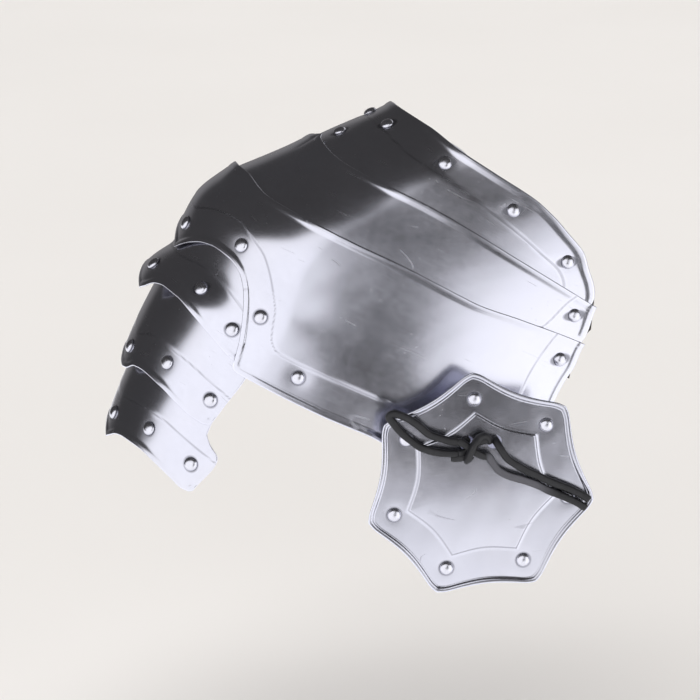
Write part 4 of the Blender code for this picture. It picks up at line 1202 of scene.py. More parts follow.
@dataclass
class Besagew:
    """The seven-sided plate that hangs over the armpit, with hollow sides and a raised panel.

    Its seat is an arc length and a height on the main plate, and the two hole ranges say where on
    that plate the lace's holes are looked for: from, to and in how many steps.
    """

    main: Lame
    sides: int = 7
    radius: float = 0.0815
    side_hollow: float = 0.0045
    corner_ease: float = 0.0020
    corner_spread: float = math.radians(6.0)
    rim: float = 0.0045
    rim_lift: float = 0.0016
    panel_radius: float = 0.0500
    panel_hollow: float = 0.0030
    panel_step: float = 0.0009
    panel_foot: float = 1.045
    dome: float = 0.0006
    bow: float = 0.0027
    rivet_radius: float = 0.0612
    roll: float = math.radians(3.7)
    lace_hole_radius: float = 0.0050
    lace_hole_place: tuple[float, float] = (0.0095, 0.0315)
    main_hole_rise: float = 0.0355
    hole_along: tuple[float, float, int] = (0.20, 0.312, 113)
    hole_heights: tuple[float, float, int] = (-0.075, 0.0, 76)
    seat: tuple[float, float] = (0.2838, -0.0705)
    standoff: float = 0.0216
    turn: float = math.radians(-9.0)
    lean: float = math.radians(-4.0)
    dimple_depth: float = 0.00022
    dimple_width: float = 0.0062
    waves: tuple[tuple[float, float, float], ...] = ((0.041, 0.4, 0.3), (0.029, 1.7, 2.2), (0.019, 2.6, 4.0))
    wave_height: float = 0.000014
    spokes: int = 42

    def hang(self) -> Matrix:
        """Where the plate hangs: its own X to its right, Y up and Z out of its face."""
        along, height = (np.array([value]) for value in self.seat)
        shell = self.main.shell
        seat = shell.face(along, height) + shell.normal(along, height) * self.standoff
        turn = Matrix.Rotation(self.turn, 4, "Z") @ Matrix.Rotation(self.lean, 4, "X")
        return Matrix.Translation(upright(seat)[0]) @ turn @ Matrix.Rotation(math.pi / 2.0, 4, "X")

    def outline(self, turn: np.ndarray, radius: float, hollow: float, ease: float) -> np.ndarray:
        """Radius of a hollow-sided polygon.

        Args:
            turn: Directions from its first corner.
            radius: Radius of its corners.
            hollow: How far each side sags in.
            ease: How much each corner is blunted.

        Returns:
            The radius in each direction.
        """
        sector = 2.0 * math.pi / self.sides
        from_corner = (turn + sector / 2.0) % sector - sector / 2.0
        from_middle = sector / 2.0 - np.abs(from_corner)
        flat = radius * math.cos(sector / 2.0) / np.cos(from_middle)
        across = np.sin(from_middle) / math.sin(sector / 2.0)
        blunt = ease * np.maximum(0.0, 1.0 - np.abs(from_corner) / self.corner_spread) ** 2
        return flat - hollow * (1.0 - across**2) - blunt

    def radii(self, turn: np.ndarray) -> tuple[np.ndarray, np.ndarray, np.ndarray]:
        """Rings of the face.

        Args:
            turn: Directions of the spokes.

        Returns:
            The rings' radii, and the radii of the panel and of the outline.
        """
        panel = self.outline(turn, self.panel_radius, self.panel_hollow, 0.0)
        edge = self.outline(turn, self.radius, self.side_hollow, self.corner_ease)
        inner = np.concatenate([np.linspace(0.03, 0.90, 26), [0.93, 0.955, 0.975, 0.99, 1.0]])
        step = np.linspace(1.0, self.panel_foot, 7)[1:]
        rings = [share * panel for share in np.concatenate([inner, step])]
        start, stop = self.panel_foot * panel, edge - self.rim - 0.0008
        rings += [start + (stop - start) * share for share in np.linspace(0.0, 1.0, 11)[1:]]
        rim = (0.0047, 0.0042, 0.0037, 0.0032, 0.0026, 0.0019, 0.0013, 0.0008, 0.0004, 0.0)
        rings += [edge - back for back in rim]
        return np.array(rings), panel, edge

    def bowed(self, radius: np.ndarray | float) -> np.ndarray | float:
        """Height of the whole plate's shallow bow at a distance from its middle."""
        return self.bow * (1.0 - (radius / self.radius) ** 2)

    def crowned(self, radius: np.ndarray, panel: np.ndarray, share: np.ndarray) -> np.ndarray:
        """Height of the panel's dome, round in the middle and even along the panel's own edge.

        Args:
            radius: Distances from the middle.
            panel: The panel's radius on each spoke.
            share: Distances as shares of the panel's radius.

        Returns:
            Shares of the dome's height.
        """
        mean = float(np.mean(panel))
        rest = 1.0 - (panel / mean) ** 2
        inner = 1.0 - (radius / mean) ** 2 - rest * np.minimum(share, 1.0) ** 5
        return np.where(share < 1.0, np.maximum(inner, 0.0), 0.0)

    def corner_place(self, corner: int, turn: float = 0.0) -> tuple[float, float]:
        """Where the rivet of a corner stands, with the first corner at the top."""
        way = 2.0 * math.pi * corner / self.sides + turn
        return -self.rivet_radius * math.sin(way), self.rivet_radius * math.cos(way)

    def lifted(
        self, radius: np.ndarray, panel: np.ndarray, inset: np.ndarray, across: np.ndarray, up: np.ndarray,
    ) -> tuple[np.ndarray, np.ndarray]:
        """Height of the face with its panel, bow, rim, dimples and faint waves.

        Args:
            radius: Distances from the middle.
            panel: The panel's radius on each spoke.
            inset: Distances from the outline.
            across: Places to the right of the middle.
            up: Places above the middle.

        Returns:
            The heights, and the distances from the nearest rivet.
        """
        share = radius / panel
        step = 1.0 - eased((share - 1.0) / (self.panel_foot - 1.0))
        lift = self.panel_step * step + self.dome * self.crowned(radius, panel, share)
        lift += self.bowed(radius)
        rise = 1.0 - eased((inset - self.rim + 0.0020) / 0.0016)
        lift += self.rim_lift * (0.70 * rise + 0.30 * (1.0 - np.clip(inset / self.rim, 0.0, 1.0)))
        ring = np.full(radius.shape, 1.0)
        for corner in range(self.sides):
            place = self.corner_place(corner)
            ring = np.minimum(ring, np.hypot(across - place[0], up - place[1]))
        lift -= self.dimple_depth * np.exp(-((ring / self.dimple_width) ** 2))
        for length, way, shift in self.waves:
            wave = (across * math.cos(way) + up * math.sin(way)) / length
            lift += self.wave_height * np.sin(2.0 * math.pi * wave + shift)
        return lift, ring

    def build(self) -> bpy.types.Object:
        """Makes the plate with its dimples and lace holes.

        Returns:
            The plate.
        """
        count = self.sides * self.spokes
        turn = np.arange(count) * 2.0 * math.pi / count
        radius, panel, edge = self.radii(turn)
        across, up = -radius * np.sin(turn), radius * np.cos(turn)
        inset = edge - radius
        lift, ring = self.lifted(radius, panel, inset, across, up)
        # Distance to the panel's step and to the rim's inner line, where the steel paints shade.
        line = np.minimum(np.abs(radius / panel - 1.02) * panel, np.abs(inset - self.rim + 0.0012))
        soften = EDGE_ROUND * (1.0 - np.clip(inset / 0.0008, 0.0, 1.0)) ** 2
        place = self.hang() @ Matrix.Rotation(self.roll, 4, "Z")
        sheets = []
        for drop, hub_drop in ((-soften, 0.0), (soften - PLATE_THICKNESS, -PLATE_THICKNESS)):
            face = np.stack([across, up, lift + drop], axis=-1).reshape(-1, 3)
            hub = np.array([[0.0, 0.0, self.panel_step + self.dome + self.bow + hub_drop]])
            sheets.append(moved(np.vstack([hub, face]), place))
        rings = len(radius)
        size = rings * count + 1
        faces = grid_quads(rings, count, 1, True, True) + grid_quads(rings, count, size + 1, False, True)
        for k in range(count):
            beside = (k + 1) % count
            faces.append((0, 1 + k, 1 + beside))
            faces.append((size, size + 1 + beside, size + 1 + k))
            rim, under = size - count, 2 * size - count
            faces.append((rim + beside, rim + k, under + k, under + beside))
        flat = np.vstack([[[0.0, 0.0]], np.stack([across, up], axis=-1).reshape(-1, 2)])
        marks = {}
        for key, values, hub in (("edge", inset, 0.05), ("line", line, 0.04), ("rivet", ring, 0.05)):
            marks[key] = np.tile(np.concatenate([[hub], values.ravel()]), 2)
        marks["inside"] = np.repeat([0.0, 0.15], size)
        sheet = mesh_from("besagew_blank", np.vstack(sheets), faces, marks, np.tile(flat, (2, 1)))
        side, rise_to = self.lace_hole_place
        holes = [self.hang() @ Matrix.Translation((way * side, rise_to, 0.0)) for way in (-1.0, 1.0)]
        return bored(sheet, holes, self.lace_hole_radius)

    def main_holes(self) -> list[Matrix]:
        """Places of the two lace holes in the main plate behind."""
        hang = self.hang()
        way = np.array(hang.to_3x3() @ Vector((0.0, 0.0, -1.0)))
        places = []
        for side in (-1.0, 1.0):
            start = np.array(hang @ Vector((side * self.lace_hole_place[0], self.main_hole_rise, 0.0)))
            spread = np.meshgrid(np.linspace(*self.hole_along), np.linspace(*self.hole_heights))
            grid = np.stack(spread, axis=-1).reshape(-1, 2)
            face = upright(self.main.shell.face(grid[:, 0], grid[:, 1]))
            offset = face - start
            share = offset @ way
            off = np.linalg.norm(offset - share[:, None] * way, axis=-1)
            depth = float(share[np.argmin(off)])
            place = Matrix.Translation((side * self.lace_hole_place[0], self.main_hole_rise, -depth))
            places.append(hang @ place)
        return places

    def rivet_row(self) -> RivetRow:
        """The seven rivets, one inside each corner."""
        hang = self.hang()
        axis = np.array(hang.to_3x3() @ Vector((0.0, 0.0, 1.0)))
        seats = []
        for corner in range(self.sides):
            rise = self.bowed(self.rivet_radius) - 0.0002
            seats.append(np.array(hang @ Vector((*self.corner_place(corner, self.roll), rise))))
        nodes = [f"besagew_rivet_{corner + 1}" for corner in range(self.sides)]
        return RivetRow("besagew_rivets", np.array(seats), np.tile(axis, (self.sides, 1)), nodes, seed=11)


@dataclass(frozen=True)
class Strand:
    """A stretch of leather lace: its route in the besagew's frame, in millimetres, and its section."""

    name: str
    route: tuple[tuple[float, float, float], ...]
    width: float = 0.0052
    thickness: float = 0.0044
    suede: float = 0.0
    squareness: float = 0.75
    sides: int = 22

    def path(self) -> np.ndarray:
        """The strand's middle line, in the besagew's frame."""
        return rounded_path(tuple(tuple(value * MM for value in point) for point in self.route), 0.0011)

    def shape(self) -> tuple[np.ndarray, list, dict[str, np.ndarray], np.ndarray]:
        """Sweeps the section along the route.

        Returns:
            The points in the besagew's frame, the faces, the readings and the flat places.
        """
        path = self.path()
        steps = np.gradient(path, axis=0)
        ways = steps / np.linalg.norm(steps, axis=1, keepdims=True)
        outs = np.zeros_like(path)
        last = np.array([0.0, 0.0, 1.0])
        for k in range(len(path) - 1, -1, -1):
            last = last - ways[k] * float(last @ ways[k])
            last = last / np.linalg.norm(last)
            outs[k] = last
        across = np.cross(ways, outs)
        run = np.concatenate([[0.0], np.cumsum(np.linalg.norm(np.diff(path, axis=0), axis=1))])
        turns = np.linspace(0.0, 2.0 * math.pi, self.sides, endpoint=False)
        wave, swell = np.cos(turns), np.sin(turns)
        side = np.sign(wave) * np.abs(wave) ** self.squareness * 0.5 * self.width
        rise = np.sign(swell) * np.abs(swell) ** self.squareness * 0.5 * self.thickness
        wobble = 1.0 + 0.025 * np.sin(run / 0.0047 + 1.3) + 0.018 * np.sin(run / 0.0021)
        shrink = np.ones(len(path))
        shrink[[0, -1]] = 0.90
        wide = (wobble * shrink)[:, None, None] * side[None, :, None] * across[:, None, :]
        tall = (shrink / np.sqrt(wobble))[:, None, None] * rise[None, :, None] * outs[:, None, :]
        body = (path[:, None, :] + wide + tall).reshape(-1, 3)
        count = len(path)
        points = np.vstack([body, path[:1], path[-1:]])
        faces = grid_quads(count, self.sides, 0, True, True)
        first, final = count * self.sides, count * self.sides + 1
        last_ring = (count - 1) * self.sides
        for k in range(self.sides):
            beside = (k + 1) % self.sides
            faces.append((first, k, beside))
            faces.append((final, last_ring + beside, last_ring + k))
        flat = np.stack(np.broadcast_arrays(run[:, None], turns[None, :] * 0.0024), axis=-1).reshape(-1, 2)
        flat = np.vstack([flat, [[0.0, 0.0], [run[-1], 0.0]]])
        bare = eased(run / run[-1] / 0.05) * (1.0 - eased(run / run[-1] / 0.25 - 2.0))
        face = self.suede * bare[:, None] * eased((swell[None, :] - 0.30) / 0.40)
        suede = np.concatenate([face.ravel(), [0.0, 0.0]])
        return points, faces, {"suede": suede}, flat


LACE_LOOP = Strand("lace_loop", (
    (-16.4, 34.5, 10), (-20, 34.5, 10), (-27, 36.5, 9.4), (-36, 40, 8.8), (-44, 47, 8), (-52, 52, 7.2),
    (-59, 54.5, 6.6), (-62.5, 52.5, 6.2), (-60, 48.5, 6.4), (-55, 42, 6.8), (-49, 36.5, 7.2),
    (-42, 31.2, 8), (-34, 28, 8.8), (-27, 26.8, 9.6), (-20, 26.2, 10), (-16.4, 26.2, 10),
))
LACE_UPPER_END = Strand("lace_end_upper", (
    (9.5, 33.6, 4.8), (9.6, 33.2, 8), (12, 29, 11.2), (17, 21.5, 10.8), (23.5, 16.5, 10.2),
    (31, 11.8, 9.4), (40, 7, 8), (49, 2.2, 6.8), (59, -2.2, 6.2), (68, -6.8, 6), (74.5, -11, 6),
))
LACE_LOWER_END = Strand("lace_end_lower", (
    (1.4, 23.2, 10), (4.2, 23.2, 10.2), (7.6, 18, 10.6), (11, 13.5, 10.4), (18, 9.2, 9.8), (27, 6, 9),
    (37, 1.8, 7.8), (46, -3.2, 6.6), (56, -7.6, 6.8), (65, -12.2, 6.6), (72, -16.8, 6),
), suede=1.0)
KNOT_TURNS = (
    Strand("wrap", (
        (5, 32.2, 7.8), (4, 35.8, 9.2), (1.2, 37.8, 11.2), (-2.4, 37.2, 13), (-5.8, 33.5, 14.2),
        (-8, 29, 14.4), (-9.8, 24.2, 13.4), (-10.8, 21.4, 10.6), (-9.2, 21.2, 7.8), (-6.8, 23.6, 7),
    )),
    Strand("pass_down", (
        (-16.8, 34.6, 10), (-13, 33, 10.4), (-9, 30.2, 10.8), (-4.8, 26.8, 11.2), (-0.8, 24.4, 10.6),
        (2, 23.2, 10.1),
    )),
    Strand("pass_up", (
        (-16.8, 26.2, 10), (-13, 26.2, 9.4), (-8.5, 28.5, 8.8), (-4.2, 32.2, 8.8), (0.4, 34, 9),
        (4.6, 34.4, 8.2), (8, 33.8, 6),
    )),
    Strand("tail", (
        (-9.2, 24, 9.2), (-13, 23.2, 10), (-17.2, 22.6, 9.8), (-20.8, 22.4, 8.8),
    ), width=0.0046),
)


@dataclass
class Lace:
    """The black leather lace that ties the besagew on: a loop, a knot and two ends."""

    hang: Matrix

    def place(self, name: str, strands: tuple[Strand, ...]) -> bpy.types.Object:
        """Makes one piece of one or more strands.

        Args:
            name: The piece's name.
            strands: Its strands.

        Returns:
            The piece.
        """
        points, faces, suede, flat, start = [], [], [], [], 0
        for strand in strands:
            shape, quads, marks, places = strand.shape()
            points.append(shape)
            faces += [tuple(corner + start for corner in face) for face in quads]
            suede.append(marks["suede"])
            flat.append(places)
            start += len(shape)
        ready = moved(np.vstack(points), self.hang)
        return mesh_from(name, ready, faces, {"suede": np.concatenate(suede)}, np.vstack(flat))

    def declare(
        self, piece: bpy.types.Object, strand: Strand, far_end: str, carried: list[bpy.types.Object],
    ) -> None:
        """Works out a strand's path in the row's frame and its length, and keeps neither.

        Args:
            piece: The strand's piece; not used.
            strand: Its route.
            far_end: What is on its far end; not used.
            carried: Pieces that sit on it.
        """
        path = [self.hang @ Vector(point) for point in strand.path()]
        length = sum((b - a).length for a, b in zip(path, path[1:]))
        tuple(path[0])
        [tuple(point) for point in path]
        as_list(carried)

    def build(self, finish: bpy.types.Material) -> list[bpy.types.Object]:
        """Args:
            finish: Its leather.

        Returns:
            The pieces.
        """
        knot = self.place("lace_knot_turns", KNOT_TURNS)
        made = [knot]
        ends = ((LACE_LOOP, "knot", [knot]), (LACE_UPPER_END, "bare", []), (LACE_LOWER_END, "bare", []))
        for strand, far_end, carried in ends:
            piece = self.place(f"{strand.name}_strand", (strand,))
            made.append(piece)
            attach(piece, BODY)
            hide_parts(strand.name)
            if piece is made[1]:
                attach(knot, BODY)
                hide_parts("lace_knot")
            self.declare(piece, strand, far_end, carried)
        for piece in made:
            piece.data.materials.append(finish)
        return made


@dataclass
class ArmStrap:
    """One of the leathers that carry the arm lames, trimmed to stay behind their ends.

    Each row is a lame's number, a height, the arc length of the strap's middle and half its width.
    """

    node: str
    side: float
    lames: tuple[Lame, ...]
    thickness: float = 0.0020
    gap: float = 0.0020
    fineness: float = 0.008
    rows: tuple[tuple[int, float, float, float], ...] = (
        (0, -0.039, 0.0985, 0.0075), (0, -0.028, 0.1000, 0.0075), (0, -0.019, 0.0970, 0.0075),
        (1, -0.081, 0.0940, 0.0070), (1, -0.064, 0.0925, 0.0070), (1, -0.048, 0.0910, 0.0065),
        (1, -0.036, 0.0885, 0.0055), (2, -0.143, 0.0835, 0.0050), (2, -0.127, 0.0825, 0.0050),
        (2, -0.107, 0.0830, 0.0060), (2, -0.089, 0.0850, 0.0070),
    )

    def build(self, finish: bpy.types.Material) -> bpy.types.Object:
        """Cuts the strap.

        Args:
            finish: Its leather.

        Returns:
            The piece.
        """
        order = sorted(self.rows, key=lambda row: -row[1])
        across = np.array([-1.0, -0.93, -0.75, 0.0, 0.75, 0.93, 1.0])
        round_off = np.array([0.40, 0.12, 0.0, 0.0, 0.0, 0.12, 0.40]) * MM
        sides_of = []
        for sign, base in ((1.0, self.gap), (-1.0, self.gap + self.thickness)):
            knots = []
            for lame, height, middle, half in order:
                along = self.side * (middle + across * half)
                level = np.full(len(across), height)
                shell = self.lames[lame].shell
                sink = base + sign * round_off
                knots.append((shell.face(along, level) - shell.normal(along, level) * sink[:, None]).ravel())
            line = rounded_path(tuple(tuple(row) for row in knots), self.fineness)
            sides_of.append(line.reshape(-1, len(across), 3))
        rows, columns = sides_of[0].shape[:2]
        points = upright(np.vstack([grid.reshape(-1, 3) for grid in sides_of]))
        made = mesh_from(f"{self.node}_strap", points, sheet_faces(rows, columns, self.side > 0.0), {}, None)
        made.data.materials.append(finish)
        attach(made, BODY)
        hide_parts(self.node)
        return made


@dataclass(frozen=True)
class SteelFinish:
    """Bare steel, polished by hand and lightly handled, with shade painted into its pressed lines and round
    its rivets.
    """

    name: str
    tint: tuple[float, float, float] = (0.62, 0.625, 0.70)
    roughness: float = 0.205
    # Near-black colour mixed in as painted shade along pressed lines and round rivet feet, and as the inner
    # faces' darker tone
    shade_and_inside_colour: tuple[float, float, float] = (0.07, 0.07, 0.085)

    def material(self) -> bpy.types.Material:
        """Builds the finish of the plates.

        Returns:
            The material.
        """
        made, shop, shader = new_finish(self.name)
        place = shop.place()
        flat = shop.node("ShaderNodeUVMap", {"uv_map": "UVMap"}, {})
        edge, line, ring = (shop.reading(key) for key in ("edge", "line", "rivet"))
        inside = shop.reading("inside")
        wheel = shop.noise(shop.stretched(flat, (55.0, 2300.0, 1.0)), 1.0, 4.0, 0.62)
        buff = shop.noise(shop.stretched(flat, (2100.0, 130.0, 1.0), 0.55), 1.0, 3.0, 0.6)
        cloud = shop.noise(place, 17.0, 4.0, 0.55, 0.4)
        fleck = shop.noise(place, 210.0, 5.0, 0.6)
        scratches = self.scratches(shop, flat)
        patches = shop.noise(place, 38.0, 2.0).step(0.52, 0.64)
        spots = shop.noise(place, 620.0, 2.0, 0.5).step(0.70, 0.77) * patches
        tone = 1.0 + (cloud - 0.5) * 0.20 + (fleck - 0.5) * 0.10 + (wheel - 0.5) * 0.07
        tone = tone - scratches * 0.16 - spots * 0.20
        worn = edge.step(0.0011, 0.0002)
        tone = tone + worn * 0.12
        colour = shop.node("ShaderNodeVectorMath", {"operation": "SCALE"}, {0: self.tint, "Scale": tone})
        warm = shop.noise(place, 9.0, 3.0, 0.5, 0.3).step(0.42, 0.68)
        colour = shop.blend(warm * 0.22, colour, (0.60, 0.585, 0.60))
        # Painted shade: the pressed lines and a ring just outside each rivet's head are darkened in place of
        # the shade in the crease and under the head; the inner faces are darkened and roughened as their own
        # duller finish.
        crease = line.step(0.0012, 0.0002) * 0.34
        halo = ring.step(0.0064, 0.0047) * 0.62
        painted_shade_and_inside = crease.most(halo).most(inside * 0.45)
        colour = shop.blend(painted_shade_and_inside * (0.75 + fleck * 0.5), colour, self.shade_and_inside_colour)
        rough = self.roughness + (cloud - 0.5) * 0.09 + (wheel - 0.5) * 0.07 + (fleck - 0.5) * 0.05
        rough = rough + scratches * 0.10 + spots * 0.15 + painted_shade_and_inside * 0.18 + inside * 0.16 - worn * 0.03
        height = (wheel - 0.5) * 0.55 + (buff - 0.5) * 0.35 + (fleck - 0.5) * 0.30 - scratches * 0.9
        finish_with(shop, shader, colour, rough.most(0.06), shop.relief(height, 0.30, 0.00002))
        shader.inputs["Metallic"].default_value = 1.0
        return made

    def scratches(self, shop: Shop, flat: Link) -> Link:
        """Sparse hairline scratches in two directions.

        Args:
            shop: The material's tree.
            flat: The piece's own flat coordinates.

        Returns:
            1 on a scratch and 0 off it.
        """
        total = None
        for turn, scale, width in ((0.42, 34.0, 0.0040), (-0.95, 27.0, 0.0035), (1.35, 41.0, 0.0030)):
            lie = shop.stretched(flat, (scale * 0.16, scale, 1.0), turn)
            wave = (shop.noise(lie, 1.0, 1.0, 0.4, 0.2) - 0.5).absolute().step(width, width * 0.35)
            spread = shop.stretched(flat, (scale, scale * 0.7, 1.0), turn)
            hair = wave * shop.noise(spread, 1.3, 2.0).step(0.60, 0.66)
            total = hair if total is None else total.most(hair)
        return total


@dataclass(frozen=True)
class RivetFinish:
    """The rivets' steel, brighter on the dome than at the foot, where shade is painted in."""

    name: str = "rivet_steel"
    tint: tuple[float, float, float] = (0.66, 0.66, 0.72)
    roughness: float = 0.27

    def material(self) -> bpy.types.Material:
        """Builds the finish.

        Returns:
            The material.
        """
        made, shop, shader = new_finish(self.name)
        place = shop.place()
        rise = shop.reading("rise")
        fleck = shop.noise(place, 900.0, 4.0, 0.6)
        cloud = shop.noise(place, 260.0, 3.0, 0.5, 0.5)
        tone = 1.0 + (fleck - 0.5) * 0.22 + (cloud - 0.5) * 0.20
        colour = shop.node("ShaderNodeVectorMath", {"operation": "SCALE"}, {0: self.tint, "Scale": tone})
        # Painted shade: the lowest millimetre of each head, next to the plate, is darkened toward near-black.
        foot = rise.step(0.0011, 0.0001)
        colour = shop.blend(foot * (0.45 + cloud * 0.5), colour, (0.055, 0.055, 0.065))
        rough = self.roughness + (cloud - 0.5) * 0.12 + (fleck - 0.5) * 0.07 + foot * 0.2
        finish_with(shop, shader, colour, rough.most(0.06), shop.relief(fleck + cloud, 0.35, 0.00004))
        shader.inputs["Metallic"].default_value = 1.0
        return made


class Hide(Enum):
    """The two leathers of the pauldron."""

    LACE = "lace_leather"
    STRAP = "inner_leather"


@dataclass(frozen=True)
class LeatherFinish:
    """Leather with pores, fine creases and a worn, drier tone in places."""

    hide: Hide
    colour: tuple[float, float, float]
    dry: tuple[float, float, float]
    suede: tuple[float, float, float]
    roughness: float
    grain: float

    def material(self) -> bpy.types.Material:
        """Builds the finish.

        Returns:
            The material.
        """
        made, shop, shader = new_finish(self.hide.value)
        place = shop.place()
        sockets = {"Vector": place, "Scale": self.grain}
        pebble = shop.node("ShaderNodeTexVoronoi", {"feature": "F1"}, sockets, "Distance")
        crease = shop.noise(place, self.grain * 0.45, 5.0, 0.65, 1.2)
        nap = shop.noise(place, self.grain * 2.3, 4.0, 0.7)
        cloud = shop.noise(place, self.grain * 0.07, 3.0, 0.5, 0.5)
        bare = shop.reading("suede")
        colour = shop.blend(cloud.step(0.42, 0.70) * 0.7 + (nap - 0.5) * 0.3, self.colour, self.dry)
        colour = shop.blend(crease.step(0.48, 0.36) * 0.45, colour, (0.006, 0.006, 0.007))
        colour = shop.blend(bare * (0.55 + nap * 0.6), colour, self.suede)
        rough = self.roughness + (cloud - 0.5) * 0.22 + (pebble - 0.4) * 0.12 + bare * 0.3
        height = pebble * -0.5 + crease * 0.8 + nap * (0.25 + bare * 0.6)
        finish_with(shop, shader, colour, rough.most(0.2).least(0.95), shop.relief(height, 0.55, 0.00022))
        return made


def new_finish(name: str) -> tuple[bpy.types.Material, Shop, bpy.types.Node]:
    """Starts a material.

    Args:
        name: Its name.

    Returns:
        The material, its tree's maker and its shader.
    """
    made = bpy.data.materials.new(name)
    made.use_nodes = True
    return made, Shop(made.node_tree), made.node_tree.nodes["Principled BSDF"]


def finish_with(shop: Shop, shader: bpy.types.Node, colour: Link, rough: Link, relief: Link) -> None:
    """Feeds a shader.

    Args:
        shop: The material's tree.
        shader: Its shader.
        colour: Base colour.
        rough: Roughness.
        relief: The surface's direction.
    """
    shop.feed(shader.inputs["Base Color"], colour)
    shop.feed(shader.inputs["Roughness"], rough)
    shop.feed(shader.inputs["Normal"], relief)


def facing(azimuth: float, elevation: float) -> np.ndarray:
    """Unit vector of a direction, with azimuth in degrees from the photograph's front toward +X."""
    turn, rise = math.radians(azimuth), math.radians(elevation)
    return np.array([math.sin(turn) * math.cos(rise), -math.cos(turn) * math.cos(rise), math.sin(rise)])


@dataclass(frozen=True)
class SoftBox:
    """A large soft light far off, drawn on the world between its corners."""

    corners: tuple[tuple[float, float], ...]
    light: float
    feather: float

    def shine(self, shop: Shop, way: Link) -> Link:
        """Its light in each direction.

        Args:
            shop: The world's tree.
            way: The direction.

        Returns:
            The light.
        """
        rims = [facing(azimuth, elevation) for azimuth, elevation in self.corners]
        middle = np.sum(rims, axis=0)
        total = None
        for start, stop in zip(rims, rims[1:] + rims[:1]):
            side = np.cross(start, stop)
            side = side / np.linalg.norm(side) * math.copysign(1.0, float(np.cross(start, stop) @ middle))
            sockets = {0: way, 1: tuple(side)}
            reach = shop.node("ShaderNodeVectorMath", {"operation": "DOT_PRODUCT"}, sockets, "Value")
            edge = reach.step(-self.feather, self.feather)
            total = edge if total is None else total * edge
        return total * self.light


@dataclass
class Studio:
    """A pale floor, soft boxes and the camera.

    The boxes' corners are azimuths and elevations in degrees. Below the horizon the light of the
    pale ground rises between the two levels of ground_rise.
    """

    floor_height: float = -0.40
    boxes: tuple[SoftBox, ...] = (
        SoftBox((
            (-100, -40), (-22, -40), (-11, -10), (-3.5, 5), (1.5, 20), (4, 38), (-8, 46.5), (-27, 46),
            (-99, 9),
        ), 1.44, 0.055),
        SoftBox(((-30, 8), (-2.4, 8), (1.3, 13), (4.1, 18), (3.8, 31), (-30, 31)), 1.40, 0.040),
        SoftBox((
            (9.6, -35), (70, -35), (64, 20), (36, 27), (23, 27), (17, 20), (13.2, 9), (10.4, -8),
        ), 1.64, 0.045),
        SoftBox(((88, -30), (150, -30), (150, 36), (88, 34)), 0.80, 0.12),
        SoftBox(((150, -40), (205, -40), (200, 14), (150, 22)), 0.24, 0.20),
    )
    dim: float = 0.060
    ground: float = 1.30
    ground_rise: tuple[float, float] = (-0.14, -0.30)
    across: tuple[float, float, float] = (0.9613, -0.2756, 0.0)
    sight: tuple[float, float, float] = (0.2636, 0.9193, -0.2924)
    aim_right: float = 0.10557
    aim_down: float = 0.10074
    distance: float = 1.8
    focal_length: float = 134.2
    sun_energy: float = 2.7

    def camera(self) -> None:
        """Sets the camera at the photograph's viewing angle."""
        right, forward = Vector(self.across), Vector(self.sight)
        up = right.cross(forward)
        lens = bpy.data.cameras.new("camera")
        lens.lens = self.focal_length
        lens.sensor_width = 36.0
        lens.clip_start = 0.05
        held = bpy.data.objects.new("camera", lens)
        aim = right * self.aim_right - up * self.aim_down
        turn = Matrix((right, up, -forward)).transposed().to_4x4()
        held.matrix_world = Matrix.Translation(aim - forward * self.distance) @ turn
        bpy.context.scene.collection.objects.link(held)
        bpy.context.scene.camera = held

    def floor(self) -> None:
        """Lays the pale floor."""
        steps = np.linspace(-9.0, 9.0, 19)
        grid = np.stack(np.meshgrid(steps, steps), axis=-1).reshape(-1, 2)
        points = np.column_stack([grid, np.full(len(grid), self.floor_height)])
        laid = mesh_from("studio_floor", points, grid_quads(19, 19, 0, False), {}, None)
        made, shop, shader = new_finish("pale_floor")
        place = shop.place()
        cloud = shop.noise(place, 1.7, 3.0)
        colour = shop.blend(cloud, (0.80, 0.78, 0.755), (0.84, 0.82, 0.80))
        shop.feed(shader.inputs["Base Color"], colour)
        shop.feed(shader.inputs["Roughness"], 0.75 + (cloud - 0.5) * 0.1)
        shader.inputs["Specular IOR Level"].default_value = 0.2
        laid.data.materials.append(made)
        laid.visible_glossy = False

    def world(self) -> None:
        """Draws the soft boxes and the dim room round them."""
        room = bpy.data.worlds.new("studio")
        bpy.context.scene.world = room
        room.use_nodes = True
        room.node_tree.nodes.clear()
        shop = Shop(room.node_tree)
        way = shop.node("ShaderNodeTexCoord", {}, {}, "Generated")
        level = shop.node("ShaderNodeSeparateXYZ", {}, {0: way}, "Z")
        light = self.dim + level.step(*self.ground_rise, 0.0, self.ground)
        for box in self.boxes:
            light = light.most(box.shine(shop, way))
        tint = shop.blend(light.step(0.1, 0.9), (1.0, 0.97, 0.97), (0.98, 0.98, 1.0))
        seen = shop.node("ShaderNodeBackground", {}, {"Color": tint, "Strength": light})
        behind = shop.node("ShaderNodeBackground", {}, {"Color": (0.93, 0.91, 0.89), "Strength": 1.0})
        straight = shop.node("ShaderNodeLightPath", {}, {}, "Is Camera Ray")
        mixed = shop.node("ShaderNodeMixShader", {}, {0: straight, 1: seen, 2: behind})
        shop.feed(room.node_tree.nodes.new("ShaderNodeOutputWorld").inputs["Surface"], mixed)

    def overhead(self) -> None:
        """Hangs a wide soft light that lights the floor and leather but stays out of the steel."""
        lamp = bpy.data.lights.new("overhead", "SUN")
        lamp.energy = self.sun_energy
        lamp.angle = math.radians(85.0)
        lamp.color = (1.0, 0.985, 0.97)
        hung = bpy.data.objects.new("overhead", lamp)
        hung.rotation_euler = (math.radians(-14.0), math.radians(-18.0), 0.0)
        hung.visible_glossy = False
        bpy.context.scene.collection.objects.link(hung)


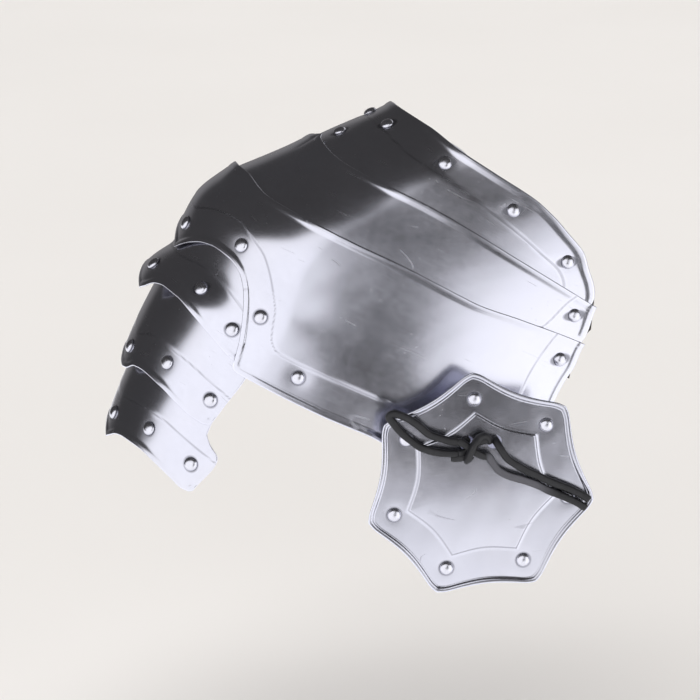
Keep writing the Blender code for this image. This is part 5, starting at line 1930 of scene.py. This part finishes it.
@dataclass
class Pauldron:
    """The whole pauldron, dressed over its frame."""

    plate_steel: SteelFinish = SteelFinish("plate_steel")
    rivet_steel: RivetFinish = RivetFinish()
    lace_leather: LeatherFinish = LeatherFinish(
        Hide.LACE, (0.007, 0.007, 0.009), (0.020, 0.020, 0.023), (0.14, 0.14, 0.16), 0.52, 1500.0,
    )
    strap_leather: LeatherFinish = LeatherFinish(
        Hide.STRAP, (0.030, 0.020, 0.014), (0.060, 0.040, 0.028), (0.12, 0.085, 0.06), 0.60, 900.0,
    )
    pieces: list[bpy.types.Object] = field(default_factory=list)

    def keep(self, piece: bpy.types.Object) -> None:
        """Notes a finished piece and reports it.

        Args:
            piece: The piece.
        """
        self.pieces.append(piece)
        piece.data.calc_loop_triangles()
        LOG.info("%s: %d triangles", piece.name, len(piece.data.loop_triangles))

    def tie_lace(self, besagew: Besagew) -> None:
        """Makes the lace and dresses its hidden stretch.

        Args:
            besagew: The plate that it holds.
        """
        leather = self.lace_leather.material()
        for piece in Lace(besagew.hang()).build(leather):
            self.keep(piece)
        self.dress("lace_hanger", leather)

    def dress(self, name: str, finish: bpy.types.Material) -> None:
        """Gives one of the frame's own solids a finish.

        Args:
            name: The node.
            finish: The material.
        """
        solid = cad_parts[name]
        solid.data.materials.clear()
        solid.data.materials.append(finish)

    def set_plates(self, row: list[Lame], besagew: Besagew) -> None:
        """Makes the lames and the besagew with their rivets.

        Args:
            row: The lames.
            besagew: The hanging plate.
        """
        steel = self.plate_steel.material()
        bright = self.rivet_steel.material()
        for order, lame in enumerate(row):
            sheet = lame.build()
            holes = besagew.main_holes() if lame.name == "main_plate" else []
            self.fit(bored(sheet, holes, besagew.lace_hole_radius), lame.name, steel)
            seats, axes = lame.rivet_seats()
            nodes = [f"{lame.name}_rivet_{number + 1}" for number in range(len(seats))]
            self.keep(RivetRow(f"{lame.name}_rivets", seats, axes, nodes, seed=order).build(bright))
        self.fit(besagew.build(), "besagew", steel)
        self.keep(besagew.rivet_row().build(bright))

    def set_straps(self, row: list[Lame]) -> None:
        """Makes the arm leathers and dresses the neck leathers.

        Args:
            row: The lames.
        """
        leather = self.strap_leather.material()
        for node, side in (("arm_leather_front", 1.0), ("arm_leather_back", -1.0)):
            self.keep(ArmStrap(node, side, tuple(row[3:])).build(leather))
        for name in ("neck_leather_front", "neck_leather_back"):
            self.dress(name, leather)

    def fit(self, plate: bpy.types.Object, node: str, steel: bpy.types.Material) -> None:
        """Dresses a plate and lets it stand for its solid.

        Args:
            plate: The fine plate.
            node: The solid's node.
            steel: Its finish.
        """
        plate.data.materials.clear()
        plate.data.materials.append(steel)
        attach(plate, BODY)
        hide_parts(node)
        self.keep(plate)


def main() -> None:
    """Builds the scene."""
    logging.basicConfig(level=logging.INFO, format="%(message)s")
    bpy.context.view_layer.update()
    bpy.context.scene.view_settings.view_transform = "Standard"
    studio = Studio()
    studio.camera()
    row = shoulder_row()
    besagew = Besagew(row[0])
    pauldron = Pauldron()
    pauldron.tie_lace(besagew)
    pauldron.set_plates(row, besagew)
    pauldron.set_straps(row)
    studio.floor()
    studio.world()
    studio.overhead()
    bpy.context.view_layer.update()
    LOG.info("%d pieces", len(pauldron.pieces))


if __name__ == "__main__":
    main()
